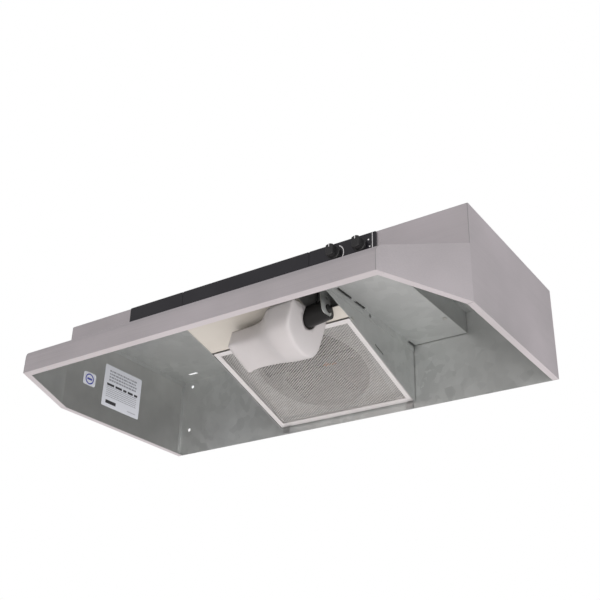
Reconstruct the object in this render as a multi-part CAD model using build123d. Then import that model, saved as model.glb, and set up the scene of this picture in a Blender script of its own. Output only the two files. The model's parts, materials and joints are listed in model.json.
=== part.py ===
from build123d import *
import math
import os

# Under cabinet range hood, in millimetres. X runs to the right as seen from the front, Y towards the wall,
# Z up. Pieces are drawn from the bottom rear edge of the hood (y = 0 at the wall, z = 0 at the hem), and
# save() moves them so that the origin is the centre of the four cabinet screw slots, on the top face.

# overall sizes
WIDTH = 762.0
DEPTH = 444.5
HEIGHT = 152.4
BOX_DEPTH = 304.8          # wall to the upright front panel
MITRE = 64.5               # how far each front corner is cut back along X
SLOPE_FOOT = 88.3          # height of the fold where the visor starts
LIP_TOP = 35.0             # height where visor and lip would meet if they were sharp
ROLL = 14.0                # radius of the rolled lip

# sheet metal
SHEET = 0.8
LAP = 0.1                  # gap between two sheets that lie on each other
SEAM = 1.8                 # open seam where an inner sheet ends at the back panel
EDGE_ROUND = 2.0           # outside radius of an upright fold
FRONT_HEM = 12.7
SIDE_HEM = 10.0
HEM_SLIT = 0.5
TOP_FLANGE = 9.0
BACK_FLANGE = 7.0

# screws that hang the hood
SLOT_FROM_END = 47.0
SLOT_X = WIDTH - 2 * SLOT_FROM_END     # centre to centre
SLOT_Y = 245.0
SLOT_REAR = 30.0           # rear slots to the wall
SLOT_LENGTH = 21.0
SLOT_R = 3.2
WALL_HOLE_FROM_END = 22.3
WALL_HOLE_X = WIDTH - 2 * WALL_HOLE_FROM_END
WALL_HOLE_Z = 90.0
WALL_HOLE_LOW = 49.3
WALL_HOLE_R = 3.2
DIMPLE_X = 147.0           # pressed spot on the back panel beside the filter
DIMPLE_Z = 39.7
DIMPLE_R = 5.0
DIMPLE_RISE = 0.9

# fan housing and filter
HOUSING_HALF = 135.0       # centre line to the inner face of a housing wall
FILTER_SIDE_GAP = 1.65     # filter to housing wall, each side
FILTER_WIDTH = 2 * (HOUSING_HALF - FILTER_SIDE_GAP)
FILTER_LENGTH = 214.0
FILTER_THICK = 6.0
FILTER_FRAME = 9.0         # width of the frame seen from below
FILTER_REAR_Y = 5.0        # filter's rear edge to the wall
FILTER_REAR_Z = 12.4
FILTER_SLANT = 18.2
MESH_THICK = 3.0
PIN_R = 2.0
PIN_CLEAR = 0.08
PIN_FROM_FRONT = 5.0
PIN_REACH = 4.0            # how far a pin stands into the housing
CATCH_FROM_REAR = 125.0    # oblong holes for a spare catch, along the filter
CATCH_LENGTH = 26.0
CATCH_HEIGHT = 3.0
CLIP_WIDTH = 12.0
CLIP_THICK = 0.6
CLIP_TOP = 24.0
CLIP_FOOT = 1.5
CLIP_NOSE = 8.0
PLATE_GAP = 12.0           # filter's lower face to the fan plate
THROAT_MARGIN = 37.0       # throat to housing wall
THROAT_R = HOUSING_HALF - THROAT_MARGIN
THROAT_RISE = 12.0

# fan and motor, measured along the fan's own axis from the filter's lower face
FAN_FROM_REAR = 112.0
BLADE_GAP = 5.0            # blade tips to the throat
BLADE_R = THROAT_R - BLADE_GAP
BLADE_COUNT = 5
BLADE_THICK = 1.2
BLADE_LOW = 20.0
BLADE_HIGH = 38.0
BLADE_TWIST = 28.0
HUB_R = 16.0
SHAFT_R = 3.0
BRACKET_H = 46.0
STRAP_DEEP = 44.0
STRAP_PAST_THROAT = 12.0
STRAP_FOOT = 14.0
STRAP_SCREW_X = 18.5       # screw centres past the throat
STRAP_SCREW_Y = 14.0
STRAP_BORE = 12.0
MOTOR_HALF = 32.0
MOTOR_STACK = 22.0
ROTOR_R = 15.0
ROTOR_GAP = 0.5
CAP_HEIGHT = 9.0

# light
PAN_GAP = 2.6              # between the light pan and the filter's front edge
PAN_SLOPE = 14.4
PAN_FLANGE = 7.0
LENS_WALL = 1.6
SOCKET_FROM_WALL = 49.0    # mouth of the socket to the housing wall
SOCKET_X = HOUSING_HALF - SOCKET_FROM_WALL
LENS_RIGHT = SOCKET_X + 10.0           # right end at the pan, past the socket's mouth
LENS_WIDE = LENS_RIGHT - 46.0          # where it has its full width
LENS_STEP = LENS_WIDE - 42.0           # where it starts to widen
LENS_LEFT = LENS_STEP - 62.0
LENS_TAPER = 20.0          # how much shorter it is at the bottom
LENS_GAP = 1.2
LENS_ROOF_GAP = 0.8
LENS_TAB_WIDTH = 9.0
LENS_TAB_RISE = 5.0
SOCKET_R = 16.5
SOCKET_WALL = 2.4
SOCKET_LENGTH = 40.0
SOCKET_Y = -257.0
SOCKET_Z = 71.0
SOCKET_TILT = 8.0
SOCKET_CLEAR = 2.0         # lens notch and pan opening round the socket
BOSS_R = 7.0
BOSS_LENGTH = 2.6
BRACKET_SHEET = 1.2
BRACKET_WIDTH = 26.0
BRACKET_ARM = 18.0         # width of the strap from the socket to the wall
BRACKET_LOW = 64.0
BRACKET_HIGH = 110.0
BRACKET_HOLE_R = 3.0
BULB_R = 19.0
BULB_FROM_MOUTH = 31.0
BULB_NECK_IN = 3.0          # neck inside the cap
CAP_R = 13.2
CAP_BORE = 11.5

# controls
STRIP_HALF = 239.0
STRIP_SEAM = 123.5
STRIP_LOW = 111.0
STRIP_HIGH = 151.2
STRIP_THICK = 2.4
KNOB_Z = 133.0
FAN_KNOB_X = 170.4
LIGHT_KNOB_X = 214.3
KNOB_R = 10.5
KNOB_SKIRT = 4.0
KNOB_DEPTH = 15.0
KNOB_GRIP = 12.0           # across the flats of the grip
KNOB_GAP = 0.6
KNOB_BORE = 9.0
BUSH_R = 4.5
BUSH_PROUD = 2.6           # threaded bush in front of the control plate
NUT_R = 7.0
NUT_THICK = 2.2
FAN_SWITCH = (32.0, 24.0)  # width and depth of the switch bodies
LIGHT_SWITCH = (24.0, 18.0)
SWITCH_LOW = 15.0
SWITCH_HIGH = 14.0
TERMINAL = 7.0

# wiring compartment
BOX_RIGHT = 235.0
BOX_FLOOR = 113.0
COVER_FLANGE = 12.0
COVER_SLOTS = ((-22.0, -1.0), (-196.0, -168.0), (-248.0, -208.0))     # slits along the bend, from and to
COVER_SLOT_LOW = 1.8
COVER_SLOT_IN = 2.4
COVER_HOLE_Y = -150.0      # lead hole through the flange and the housing wall
COVER_SCREW_YS = (-70.0, -240.0)
SCREW_HEAD_R = 3.6
SCREW_HEAD_HIGH = 2.2
MOTOR_HEAD_R = 3.4
MOTOR_HEAD_HIGH = 2.4
BOX_FLANGE = 8.0
WIRE_NUT_R = 8.0
WIRE_NUT_LENGTH = 22.0
WIRE_NUT_X = 180.0
WIRE_NUT_YS = (-120.0, -142.0, -164.0)
WIRE_NUT_Z = BOX_FLOOR + SHEET + WIRE_NUT_R + 0.2
BUSHING_R = 6.0
BUSHING_BORE = 2.3
LEAD = 4.0                 # jacketed lead
THIN_LEAD = 3.0
MOTOR_HOLE = (-70.0, 128.0)  # y and z of the lead holes in the right housing wall
LAMP_HOLE = (-234.0, 126.0)

# duct connector on the top, and knockouts
DUCT_X = 254.0
DUCT_Y = 82.5
DUCT_REAR = 20.0           # duct opening to the wall
DUCT_RISE = 44.0
DUCT_FLANGE = 14.0
FLAP_AT = 24.0             # flap axis above the top panel
FLAP_CLEAR = 1.2
FLAP_PIN_R = 1.6
FLAP_LEDGE = 5.0
FLAP_REST_GAP = 0.3
DUCT_CLEAR = 1.5           # collar inside its opening, all round
KNOCKOUT_R = 11.1
KNOCKOUT_SLIT = 0.6

SLOT_MID_Y = -(SLOT_REAR + SLOT_Y / 2)
ORIGIN = (0, SLOT_MID_Y, HEIGHT)
MITRE_RUN = DEPTH - BOX_DEPTH
MITRE_K = MITRE / MITRE_RUN
MITRE_SEC = math.hypot(1.0, MITRE_K)
SLANT = math.radians(FILTER_SLANT)
PAN_TAN = math.tan(math.radians(PAN_SLOPE))
PAN_REAR_Y = -(FILTER_REAR_Y + FILTER_LENGTH * math.cos(SLANT) + PAN_GAP)
PAN_REAR_Z = FILTER_REAR_Z + FILTER_LENGTH * math.sin(SLANT) + 1.5
PAN_FRONT_Y = -(BOX_DEPTH - SHEET - LAP)
TOP_IN = HEIGHT - SHEET - LAP

slant = Plane(
    origin=(0, -FILTER_REAR_Y, FILTER_REAR_Z),
    x_dir=(1, 0, 0),
    z_dir=(0, math.sin(SLANT), math.cos(SLANT)),
)


def pan_z(y):
    """Height of the light pan's lower face at y."""
    return PAN_REAR_Z + (PAN_REAR_Y - y) * PAN_TAN


def slab(x0, x1, y0, y1, z0, z1):
    """A box between two corners."""
    middle = Pos((x0 + x1) / 2, (y0 + y1) / 2, (z0 + z1) / 2)
    return middle * Box(abs(x1 - x0), abs(y1 - y0), abs(z1 - z0))


def rod(start, direction, radius, length):
    """A cylinder that starts at a point and runs along a direction."""
    return extrude(Plane(origin=start, z_dir=direction) * Circle(radius), length)


def side_outline(points, x0, x1):
    """A solid whose side view is a list of (y, z) points, from x0 to x1."""
    face = make_face(Plane.YZ.offset(x0) * Polyline(*points, close=True))
    return extrude(face, x1 - x0, dir=(1, 0, 0))


def save(name, *solids):
    """Moves a node's solids into the hood's frame and writes them as one STEP file."""
    moved = [Pos(-ORIGIN[0], -ORIGIN[1], -ORIGIN[2]) * s for s in solids]
    shape = moved[0] if len(moved) == 1 else Compound(children=moved)
    export_step(shape, f"parts/{name}.step")


# ---------------------------------------------------------------- shell


def hood_profile():
    """Side view of the whole hood: box, visor slope and rolled lip."""
    points = [
        (0, 0),
        (0, HEIGHT),
        (-BOX_DEPTH, HEIGHT),
        (-BOX_DEPTH, SLOPE_FOOT),
        (-DEPTH, LIP_TOP),
        (-DEPTH, 0),
    ]
    face = make_face(Polyline(*points, close=True))
    lip = face.vertices().sort_by_distance(Vector(-DEPTH, LIP_TOP, 0))[0]
    face = fillet(lip, ROLL)
    fold = face.vertices().sort_by_distance(Vector(-BOX_DEPTH, SLOPE_FOOT, 0))[0]
    face = fillet(fold, EDGE_ROUND)
    top = face.vertices().sort_by_distance(Vector(-BOX_DEPTH, HEIGHT, 0))[0]
    return fillet(top, EDGE_ROUND)


def mitre_x(y, inset):
    """Half width of the hood at y, with its side and mitre faces moved inwards by inset."""
    return WIDTH / 2 - (-BOX_DEPTH - y) * MITRE_K - inset * MITRE_SEC


def plan(inset, front, back, corner=0.0):
    """Plan of the hood between two y values, side and mitre faces moved inwards by inset."""
    corner_y = -BOX_DEPTH + inset * (MITRE_SEC - 1) / MITRE_K
    side = WIDTH / 2 - inset
    points = [(side, back), (side, corner_y), (mitre_x(front, inset), front)]
    points += [(-x, y) for x, y in reversed(points)]
    face = make_face(Polyline(*points, close=True))
    if corner > 0:
        folds = [v for v in face.vertices() if abs(v.Y - corner_y) < 0.01]
        face = fillet(folds, corner)
    return face


def envelope():
    """The whole hood as one solid block."""
    block = extrude(Plane.YZ.offset(-WIDTH / 2) * hood_profile(), WIDTH)
    return block & extrude(plan(0, -DEPTH, 0, EDGE_ROUND), HEIGHT)


def front_visor():
    """Front panel, visor, lip and front hem: one folded sheet."""
    outer = hood_profile()
    inner = offset(outer, -SHEET, kind=Kind.INTERSECTION)
    sheet = extrude(Plane.YZ.offset(-WIDTH / 2) * (outer - inner), WIDTH)
    sheet -= slab(-WIDTH, WIDTH, -BOX_DEPTH + SHEET, 1, -1, HEIGHT + 1)
    sheet -= slab(-WIDTH, WIDTH, -DEPTH + FRONT_HEM, -BOX_DEPTH + SHEET, -1, SHEET + 0.5)
    between = extrude(plan(SHEET + LAP, -DEPTH - 1, 1), HEIGHT + 1)
    sheet &= between
    for x in (FAN_KNOB_X, LIGHT_KNOB_X):
        sheet -= rod((x, -BOX_DEPTH - 1, KNOB_Z), (0, 1, 0), BUSH_R + LAP, SHEET + 2)
    return sheet


def side_panel(side):
    """Side wall, mitre plate and their inward hem: one folded sheet."""
    inner_corner = EDGE_ROUND - SHEET
    wall = envelope() - extrude(plan(SHEET, -DEPTH - 1, 1, inner_corner), HEIGHT)
    hem_front = -DEPTH + FRONT_HEM + LAP
    hem_back = -SHEET - LAP
    hem = extrude(plan(SHEET, hem_front, hem_back, inner_corner), SHEET)
    hem -= extrude(plan(SIDE_HEM, hem_front - 1, 1), SHEET)
    bisector = math.degrees(math.atan(MITRE_K)) / 2
    slit = Pos(WIDTH / 2, -BOX_DEPTH, SHEET / 2) * Rot(0, 0, -bisector)
    slit *= Pos(-SHEET * 1.5 - SIDE_HEM, 0, 0) * Box(SIDE_HEM * 2, HEM_SLIT, SHEET * 2)
    hem -= slit
    hem -= mirror(slit, Plane.YZ)
    half = slab(0, side * WIDTH, -DEPTH - 1, 1, -1, HEIGHT + 1)
    return (wall & half).fuse(hem & half)


def slot_cut(x, y):
    """Cutter for one cabinet screw slot, long along X."""
    slot = SlotOverall(SLOT_LENGTH, 2 * SLOT_R)
    return extrude(Pos(x, y, HEIGHT - 10) * slot, 20)


def knockout_cut(plane, width, height):
    """Cutter that shears a rectangle almost free, with four narrow tabs left."""
    outside = Rectangle(width, height)
    inside = Rectangle(width - 2 * KNOCKOUT_SLIT, height - 2 * KNOCKOUT_SLIT)
    tabs = Rectangle(6, height + 2) + Rectangle(width + 2, 6)
    return extrude(plane * (outside - inside - tabs), 4, both=True)


def round_knockout_cut(plane):
    """Cutter that shears a cable knockout almost free, with one tab left."""
    gap = Circle(KNOCKOUT_R) - Circle(KNOCKOUT_R - KNOCKOUT_SLIT)
    return extrude(plane * (gap - Pos(KNOCKOUT_R, 0) * Rectangle(6, 5)), 4, both=True)


def top_panel():
    """Top sheet with down-turned flanges that lap inside the side walls."""
    side = WIDTH / 2 - SHEET - LAP
    front = -BOX_DEPTH + SHEET + LAP
    back = -SHEET - LAP
    low = HEIGHT - TOP_FLANGE
    sheet = slab(-side, side, front, back, HEIGHT - SHEET, HEIGHT)
    for sign in (-1, 1):
        sheet += slab(sign * side, sign * (side - SHEET), front, back, low, HEIGHT)
    for x in (-SLOT_X / 2, SLOT_X / 2):
        for y in (-SLOT_REAR, -SLOT_REAR - SLOT_Y):
            sheet -= slot_cut(x, y)
    duct_front = -DUCT_REAR - DUCT_Y
    sheet -= slab(-DUCT_X / 2, DUCT_X / 2, duct_front, -DUCT_REAR, HEIGHT - 5, HEIGHT + 5)
    sheet -= round_knockout_cut(Plane((BOX_RIGHT - 45, -60, HEIGHT)))
    return sheet


def back_panel():
    """Back sheet with flanges that lap inside the side walls."""
    side = WIDTH / 2 - SHEET - LAP
    top = HEIGHT
    sheet = slab(-side, side, -SHEET, 0, 0, top)
    flange_top = HEIGHT - TOP_FLANGE - 1
    for sign in (-1, 1):
        sheet += slab(sign * side, sign * (side - SHEET), -BACK_FLANGE, 0, SHEET + LAP, flange_top)
    for x in (-WALL_HOLE_X / 2, WALL_HOLE_X / 2):
        for z in (WALL_HOLE_LOW, WALL_HOLE_LOW + WALL_HOLE_Z):
            sheet -= rod((x, -5, z), (0, 1, 0), WALL_HOLE_R, 10)
    middle = HEIGHT - DUCT_REAR - DUCT_Y / 2
    wall = Plane((0, 0, middle), x_dir=(1, 0, 0), z_dir=(0, 1, 0))
    sheet -= knockout_cut(wall, DUCT_X, DUCT_Y)
    cable = Plane((BOX_RIGHT - 45, 0, (BOX_FLOOR + HEIGHT) / 2), x_dir=(1, 0, 0), z_dir=(0, 1, 0))
    sheet -= round_knockout_cut(cable)
    return sheet + rod((DIMPLE_X, -SHEET, DIMPLE_Z), (0, -1, 0), DIMPLE_R, DIMPLE_RISE)


# ---------------------------------------------------------------- fan housing


def housing_wall(side):
    """Upright wall beside the fan; its lower edge follows the filter and the pan."""
    rear_y = -SHEET - SEAM
    foot = FILTER_REAR_Z - 1.0 - (FILTER_REAR_Y + rear_y) * math.tan(SLANT)
    knee_y = PAN_REAR_Y
    knee_z = PAN_REAR_Z - 1.0
    points = [
        (rear_y, foot),
        (rear_y, TOP_IN),
        (PAN_FRONT_Y, TOP_IN),
        (PAN_FRONT_Y, pan_z(PAN_FRONT_Y) - 1.0),
        (knee_y, knee_z),
    ]
    start = HOUSING_HALF if side > 0 else -HOUSING_HALF - SHEET
    wall = side_outline(points, start, start + SHEET)
    pin = slant * Pos(0, -(FILTER_LENGTH - PIN_FROM_FRONT), FILTER_THICK / 2)
    hole = (side * (HOUSING_HALF - 1), pin.position.Y, pin.position.Z)
    wall -= rod(hole, (side, 0, 0), PIN_R, SHEET + 2)
    wall -= catch_cut(side)
    if side > 0:
        for y, z in (MOTOR_HOLE, LAMP_HOLE):
            wall -= rod((HOUSING_HALF - 1, y, z), (1, 0, 0), BUSHING_R, SHEET + 2)
        wall -= cover_hole()
    return wall


def catch_cut(side):
    """Cutter for the oblong catch hole, through the housing wall and the fan plate's flange."""
    height = PLATE_GAP - CATCH_HEIGHT
    return slant * Pos(side * HOUSING_HALF, -CATCH_FROM_REAR, height) * Box(6, CATCH_LENGTH, CATCH_HEIGHT)


def fan_plate():
    """Plate above the filter with the round fan throat."""
    half = HOUSING_HALF - LAP
    length = FILTER_LENGTH - 3
    plate = slant * Pos(0, -length / 2 - 2, PLATE_GAP + SHEET / 2) * Box(2 * half, length, SHEET)
    fan = slant * Pos(0, -FAN_FROM_REAR, PLATE_GAP)
    throat = fan * Cylinder(THROAT_R, THROAT_RISE, align=(Align.CENTER, Align.CENTER, Align.MIN))
    standing = (Align.CENTER, Align.CENTER, Align.MIN)
    bore = fan * Pos(0, 0, -5) * Cylinder(THROAT_R - SHEET, THROAT_RISE + 9, align=standing)
    plate = plate + throat - bore
    rest = PLATE_GAP - FILTER_THICK - 0.5
    for sign in (-1, 1):
        x = sign * (half - SHEET / 2)
        plate += slant * Pos(x, -length / 2 - 2, PLATE_GAP - rest / 2 + 0.1) * Box(SHEET, length, rest)
    return plate - catch_cut(-1) - catch_cut(1)


def filter_frame():
    """Folded aluminium rim of the grease filter, with holes for its two pins."""
    middle = slant * Pos(0, -FILTER_LENGTH / 2, FILTER_THICK / 2)
    frame = middle * Box(FILTER_WIDTH, FILTER_LENGTH, FILTER_THICK)
    window = Box(FILTER_WIDTH - 2 * FILTER_FRAME, FILTER_LENGTH - 2 * FILTER_FRAME, FILTER_THICK * 2)
    frame -= middle * window
    groove = Box(FILTER_WIDTH - FILTER_FRAME, FILTER_LENGTH - FILTER_FRAME, MESH_THICK)
    frame -= middle * groove
    step = 2 * (FILTER_FRAME - 2.4)
    frame -= middle * Pos(0, 0, -FILTER_THICK / 2) * Box(FILTER_WIDTH - step, FILTER_LENGTH - step, 1.2)
    for sign in (-1, 1):
        hole = slant * Pos(sign * FILTER_WIDTH / 2, -(FILTER_LENGTH - PIN_FROM_FRONT), FILTER_THICK / 2)
        frame -= hole * Rot(0, 90, 0) * Cylinder(PIN_R + PIN_CLEAR, 6.4)
    return frame


def filter_mesh():
    """Layered expanded-aluminium pad held in the rim's groove."""
    middle = slant * Pos(0, -FILTER_LENGTH / 2, FILTER_THICK / 2)
    gap = FILTER_FRAME + 2 * LAP
    return middle * Box(FILTER_WIDTH - gap, FILTER_LENGTH - gap, MESH_THICK - 2 * LAP)


def filter_pins():
    """Two rivets in the housing walls that the filter turns on."""
    pins = []
    for sign in (-1, 1):
        seat = slant * Pos(sign * HOUSING_HALF, -(FILTER_LENGTH - PIN_FROM_FRONT), FILTER_THICK / 2)
        start = (sign * (HOUSING_HALF - PIN_REACH), seat.position.Y, seat.position.Z)
        head = (sign * (HOUSING_HALF + SHEET), seat.position.Y, seat.position.Z)
        pin = rod(start, (sign, 0, 0), PIN_R, PIN_REACH + SHEET)
        pins.append(pin + rod(head, (sign, 0, 0), PIN_R * 1.9, 1.4))
    return pins


def filter_clips():
    """Two spring clips at the rear edge that keep the filter up."""
    clips = []
    wall = -SHEET - LAP
    tip = -FILTER_REAR_Y + 1.6
    for sign in (-1, 1):
        x0 = sign * (FILTER_WIDTH / 2 - 2)
        x1 = x0 - sign * CLIP_WIDTH
        back = slab(x0, x1, wall, wall - CLIP_THICK, CLIP_FOOT, CLIP_TOP)
        foot = slab(x0, x1, wall, tip, CLIP_FOOT, CLIP_FOOT + CLIP_THICK)
        nose = slab(x0, x1, tip + CLIP_THICK, tip, CLIP_FOOT, CLIP_NOSE)
        clips.append(back + foot + nose)
    return clips


# ---------------------------------------------------------------- fan


def fan_place(h):
    """Location on the fan's axis, h above the filter's lower face."""
    return slant * Pos(0, -FAN_FROM_REAR, h)


def fan_blade():
    """Pressed hub disc with twisted blades."""
    middle = (BLADE_LOW + BLADE_HIGH) / 2
    hub = Cylinder(HUB_R, BLADE_THICK) + Pos(0, 0, 3) * Cylinder(HUB_R * 0.5, 8)
    blade = Pos((HUB_R + BLADE_R) / 2, 0, 0) * Rot(BLADE_TWIST, 0, 0)
    blade *= Box(BLADE_R - HUB_R + 4, 52, BLADE_THICK)
    limit = Cylinder(BLADE_R, BLADE_HIGH - BLADE_LOW + 12)
    wheel = hub
    for n in range(BLADE_COUNT):
        wheel += Rot(0, 0, n * 360 / BLADE_COUNT) * blade
    wheel = (wheel & limit) - Cylinder(SHAFT_R, 60)
    return fan_place(middle) * wheel


def blade_nut():
    """Hexagon nut under the fan blade."""
    nut = extrude(RegularPolygon(6.0, 6), 5) - Cylinder(SHAFT_R, 30)
    return fan_place((BLADE_LOW + BLADE_HIGH) / 2 - 1.0 - 5.2) * nut


def rotor_shaft():
    """Motor shaft with its rotor."""
    low = BLADE_LOW - 1
    top = BRACKET_H + CAP_HEIGHT * 2 + MOTOR_STACK + 4
    shaft = fan_place(low) * Cylinder(SHAFT_R, top - low, align=(Align.CENTER, Align.CENTER, Align.MIN))
    core = fan_place(motor_middle()) * Cylinder(ROTOR_R, MOTOR_STACK)
    return shaft + core


def motor_middle():
    """Height of the middle of the motor's laminations on the fan's axis."""
    return BRACKET_H + SHEET + CAP_HEIGHT + MOTOR_STACK / 2


def motor_core():
    """Laminated C-frame with the rotor's bore."""
    body = Box(2 * MOTOR_HALF, 2 * MOTOR_HALF, MOTOR_STACK)
    window = Pos(0, MOTOR_HALF * 0.72, 0) * Box(MOTOR_HALF, MOTOR_HALF * 0.28, MOTOR_STACK * 2)
    body = body - window - Cylinder(ROTOR_R + ROTOR_GAP, MOTOR_STACK * 2)
    for x in (-1, 1):
        body -= Pos(x * MOTOR_HALF * 0.84, -MOTOR_HALF * 0.6, 0) * Cylinder(2.2, MOTOR_STACK * 2)
    return fan_place(motor_middle()) * body


def motor_coil():
    """Winding on the C-frame's far leg."""
    width = MOTOR_HALF * 0.96
    inner = Box(width * 2, MOTOR_HALF * 0.145, MOTOR_STACK + 0.4)
    coil = Pos(0, MOTOR_HALF * 0.928, 0) * inner
    wrap = Pos(0, MOTOR_HALF * 0.905, 0) * Box(width, MOTOR_HALF * 0.6, MOTOR_STACK + 8)
    return fan_place(motor_middle()) * (wrap - coil)


def motor_terminal():
    """Point on the winding's right side where the motor's lead ends."""
    seat = fan_place(motor_middle()) * Pos(MOTOR_HALF * 0.48 + 0.05, MOTOR_HALF * 1.11, 0)
    return (seat.position.X, seat.position.Y, seat.position.Z)


def motor_caps():
    """Two cast bearing caps, under and over the laminations."""
    caps = []
    for low, flip in ((BRACKET_H + SHEET, 1), (BRACKET_H + SHEET + CAP_HEIGHT + MOTOR_STACK, -1)):
        bar = Box(2 * MOTOR_HALF * 0.95, 16, 3, align=(Align.CENTER, Align.CENTER, Align.MIN))
        boss = Cylinder(10, CAP_HEIGHT - 0.4, align=(Align.CENTER, Align.CENTER, Align.MIN))
        cap = bar + boss
        for x in (-1, 1):
            leg = Box(6, 16, CAP_HEIGHT - 0.1, align=(Align.CENTER, Align.CENTER, Align.MIN))
            cap += Pos(x * (MOTOR_HALF * 0.95 - 3), 0, 0) * leg
        cap -= Cylinder(SHAFT_R + 0.05, 60)
        if flip < 0:
            cap = Pos(0, 0, CAP_HEIGHT) * Rot(180, 0, 0) * cap
        caps.append(fan_place(low) * cap)
    return caps


def motor_bracket():
    """Strap across the fan plate that carries the motor."""
    standing = (Align.CENTER, Align.CENTER, Align.MIN)
    thick = SHEET * 2
    span = THROAT_R + STRAP_PAST_THROAT
    leg_low = PLATE_GAP + SHEET + LAP
    top = Box(2 * span, STRAP_DEEP, thick, align=(Align.CENTER, Align.CENTER, Align.MAX))
    strap = Pos(0, 0, BRACKET_H) * top
    for side in (-1, 1):
        leg = Box(thick, STRAP_DEEP, BRACKET_H - leg_low, align=standing)
        strap += Pos(side * (span - thick / 2), 0, leg_low) * leg
        foot = Box(STRAP_FOOT, STRAP_DEEP, thick, align=standing)
        strap += Pos(side * (span + STRAP_FOOT / 2 - thick), 0, leg_low) * foot
    strap -= Cylinder(STRAP_BORE, 4 * BRACKET_H)
    return fan_place(0) * strap


def motor_screws():
    """Four screws that hold the bracket's feet to the fan plate."""
    standing = (Align.CENTER, Align.CENTER, Align.MIN)
    base = PLATE_GAP + SHEET + LAP + SHEET * 2 + 0.02
    screws = []
    for side in (-1, 1):
        for y in (-STRAP_SCREW_Y, STRAP_SCREW_Y):
            head = Pos(side * (THROAT_R + STRAP_SCREW_X), y, base)
            screws.append(fan_place(0) * head * Cylinder(MOTOR_HEAD_R, MOTOR_HEAD_HIGH, align=standing))
    return screws


# ---------------------------------------------------------------- light


def light_pan():
    """Painted sheet ahead of the filter; the lens and the socket hang from it."""
    half = HOUSING_HALF - LAP
    front = PAN_FRONT_Y + LAP
    rear_z = pan_z(PAN_REAR_Y)
    low = [(PAN_REAR_Y, rear_z), (front, pan_z(front))]
    high = [(front, pan_z(front) + SHEET), (PAN_REAR_Y, rear_z + SHEET)]
    pan = side_outline(low + high, -half, half)
    pan += slab(-half, half, PAN_REAR_Y, PAN_REAR_Y - SHEET, rear_z, rear_z + PAN_FLANGE)
    open_front = SOCKET_Y - SOCKET_R * 2
    open_rear = SOCKET_Y + SOCKET_R + SOCKET_CLEAR
    pan -= slab(SOCKET_X - SOCKET_CLEAR, half + 1, open_front, open_rear, rear_z, HEIGHT)
    rear = PAN_REAR_Y - LENS_GAP
    for x in lens_tab_places():
        reach = LENS_TAB_WIDTH / 2 + 1
        slot_top = rear_z + PAN_FLANGE + 5
        pan -= slab(x - reach, x + reach, rear - LENS_WALL - 1, rear + 0.6, rear_z - 10, slot_top)
    return pan


def lens_tab_places():
    """X places of the two tabs that snap the lens into the pan."""
    return (LENS_LEFT + 8, LENS_WIDE - 8)


def lens_sections():
    """Side views of the lens at four x: (y, z) steps from its top rear edge, down, round and up."""
    return [
        (LENS_LEFT, [(0, -52), (-18, -45), (-36, -37.5), (-54, -29), (-45, 0)]),
        (LENS_STEP, [(0, -53), (-20, -49), (-38, -41), (-56, -30), (-46, 0)]),
        (LENS_WIDE, [(0, -54.5), (-22, -62), (-52, -57), (-80, -40), (-76, 0)]),
        (LENS_RIGHT, [(0, -55.5), (-25, -63.5), (-55, -58), (-87, -38), (-87, 0)]),
    ]


def lens_body(wall):
    """Scoop of the lens, slim at the left and wide round the socket, moved inwards by wall."""
    faces = []
    rear = PAN_REAR_Y - LENS_GAP
    for x, steps in lens_sections():
        low, belly, curve, toe, front = [(rear + dy, PAN_REAR_Z + dz + wall) for dy, dz in steps]
        roof = pan_z(front[0]) - LENS_ROOF_GAP
        outline = [
            (rear - wall, pan_z(rear) - LENS_ROOF_GAP),
            (front[0] + wall, roof),
            (toe[0] + wall, toe[1]),
            curve,
            belly,
            (rear - wall, low[1]),
        ]
        place = x + wall if x < 0 else x
        faces.append(make_face(Plane.YZ.offset(place) * Polyline(*outline, close=True)))
    return loft(faces, ruled=True) - lens_taper(wall)


def lens_taper(wall):
    """Cutter for the lens's right end, which leans inwards towards the bottom."""
    top = PAN_REAR_Z + 20
    low = PAN_REAR_Z - 64
    right = LENS_RIGHT - wall
    beyond = [
        (right, top),
        (right - LENS_TAPER, low),
        (right - LENS_TAPER, low - 20),
        (right + 60, low - 20),
        (right + 60, top + 40),
        (right, top + 40),
    ]
    return extrude(make_face(Plane.XZ * Polyline(*beyond, close=True)), DEPTH, both=True)


def light_lens():
    """Translucent thin-walled scoop, open above, with a notch for the socket."""
    lens = lens_body(0) - lens_body(LENS_WALL)
    inside = lens_body(LENS_WALL)
    for rise in (1, 2):
        lens -= Pos(0, 0, rise * LENS_WALL) * inside
    notch_r = SOCKET_R + SOCKET_CLEAR
    notch = rod((LENS_WIDE + 12, SOCKET_Y, SOCKET_Z), (1, 0, 0), notch_r, 60)
    y0 = SOCKET_Y - notch_r
    y1 = SOCKET_Y + notch_r
    notch += slab(LENS_WIDE + 12, LENS_WIDE + 72, y0, y1, SOCKET_Z, HEIGHT)
    lens -= notch
    rear = PAN_REAR_Y - LENS_GAP
    reach = LENS_TAB_WIDTH / 2
    for x in lens_tab_places():
        foot = PAN_REAR_Z - 10
        lens += slab(x - reach, x + reach, rear - LENS_WALL, rear, foot, PAN_REAR_Z + LENS_TAB_RISE)
    return lens


def socket_axis():
    """Direction of the socket from its mouth to its closed end."""
    tilt = math.radians(SOCKET_TILT)
    return (math.cos(tilt), 0, math.sin(tilt))


def along_socket(distance):
    """Point on the socket's axis, measured from its mouth."""
    direction = socket_axis()
    return (SOCKET_X + direction[0] * distance, SOCKET_Y, SOCKET_Z + direction[2] * distance)


def lamp_socket():
    """Moulded lampholder, open at its mouth, with a boss on its closed end."""
    body = rod(along_socket(0), socket_axis(), SOCKET_R, SOCKET_LENGTH)
    body = body - rod(along_socket(-1), socket_axis(), SOCKET_R - SOCKET_WALL, SOCKET_LENGTH - 5)
    return body + rod(along_socket(SOCKET_LENGTH), socket_axis(), BOSS_R, BOSS_LENGTH)


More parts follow.
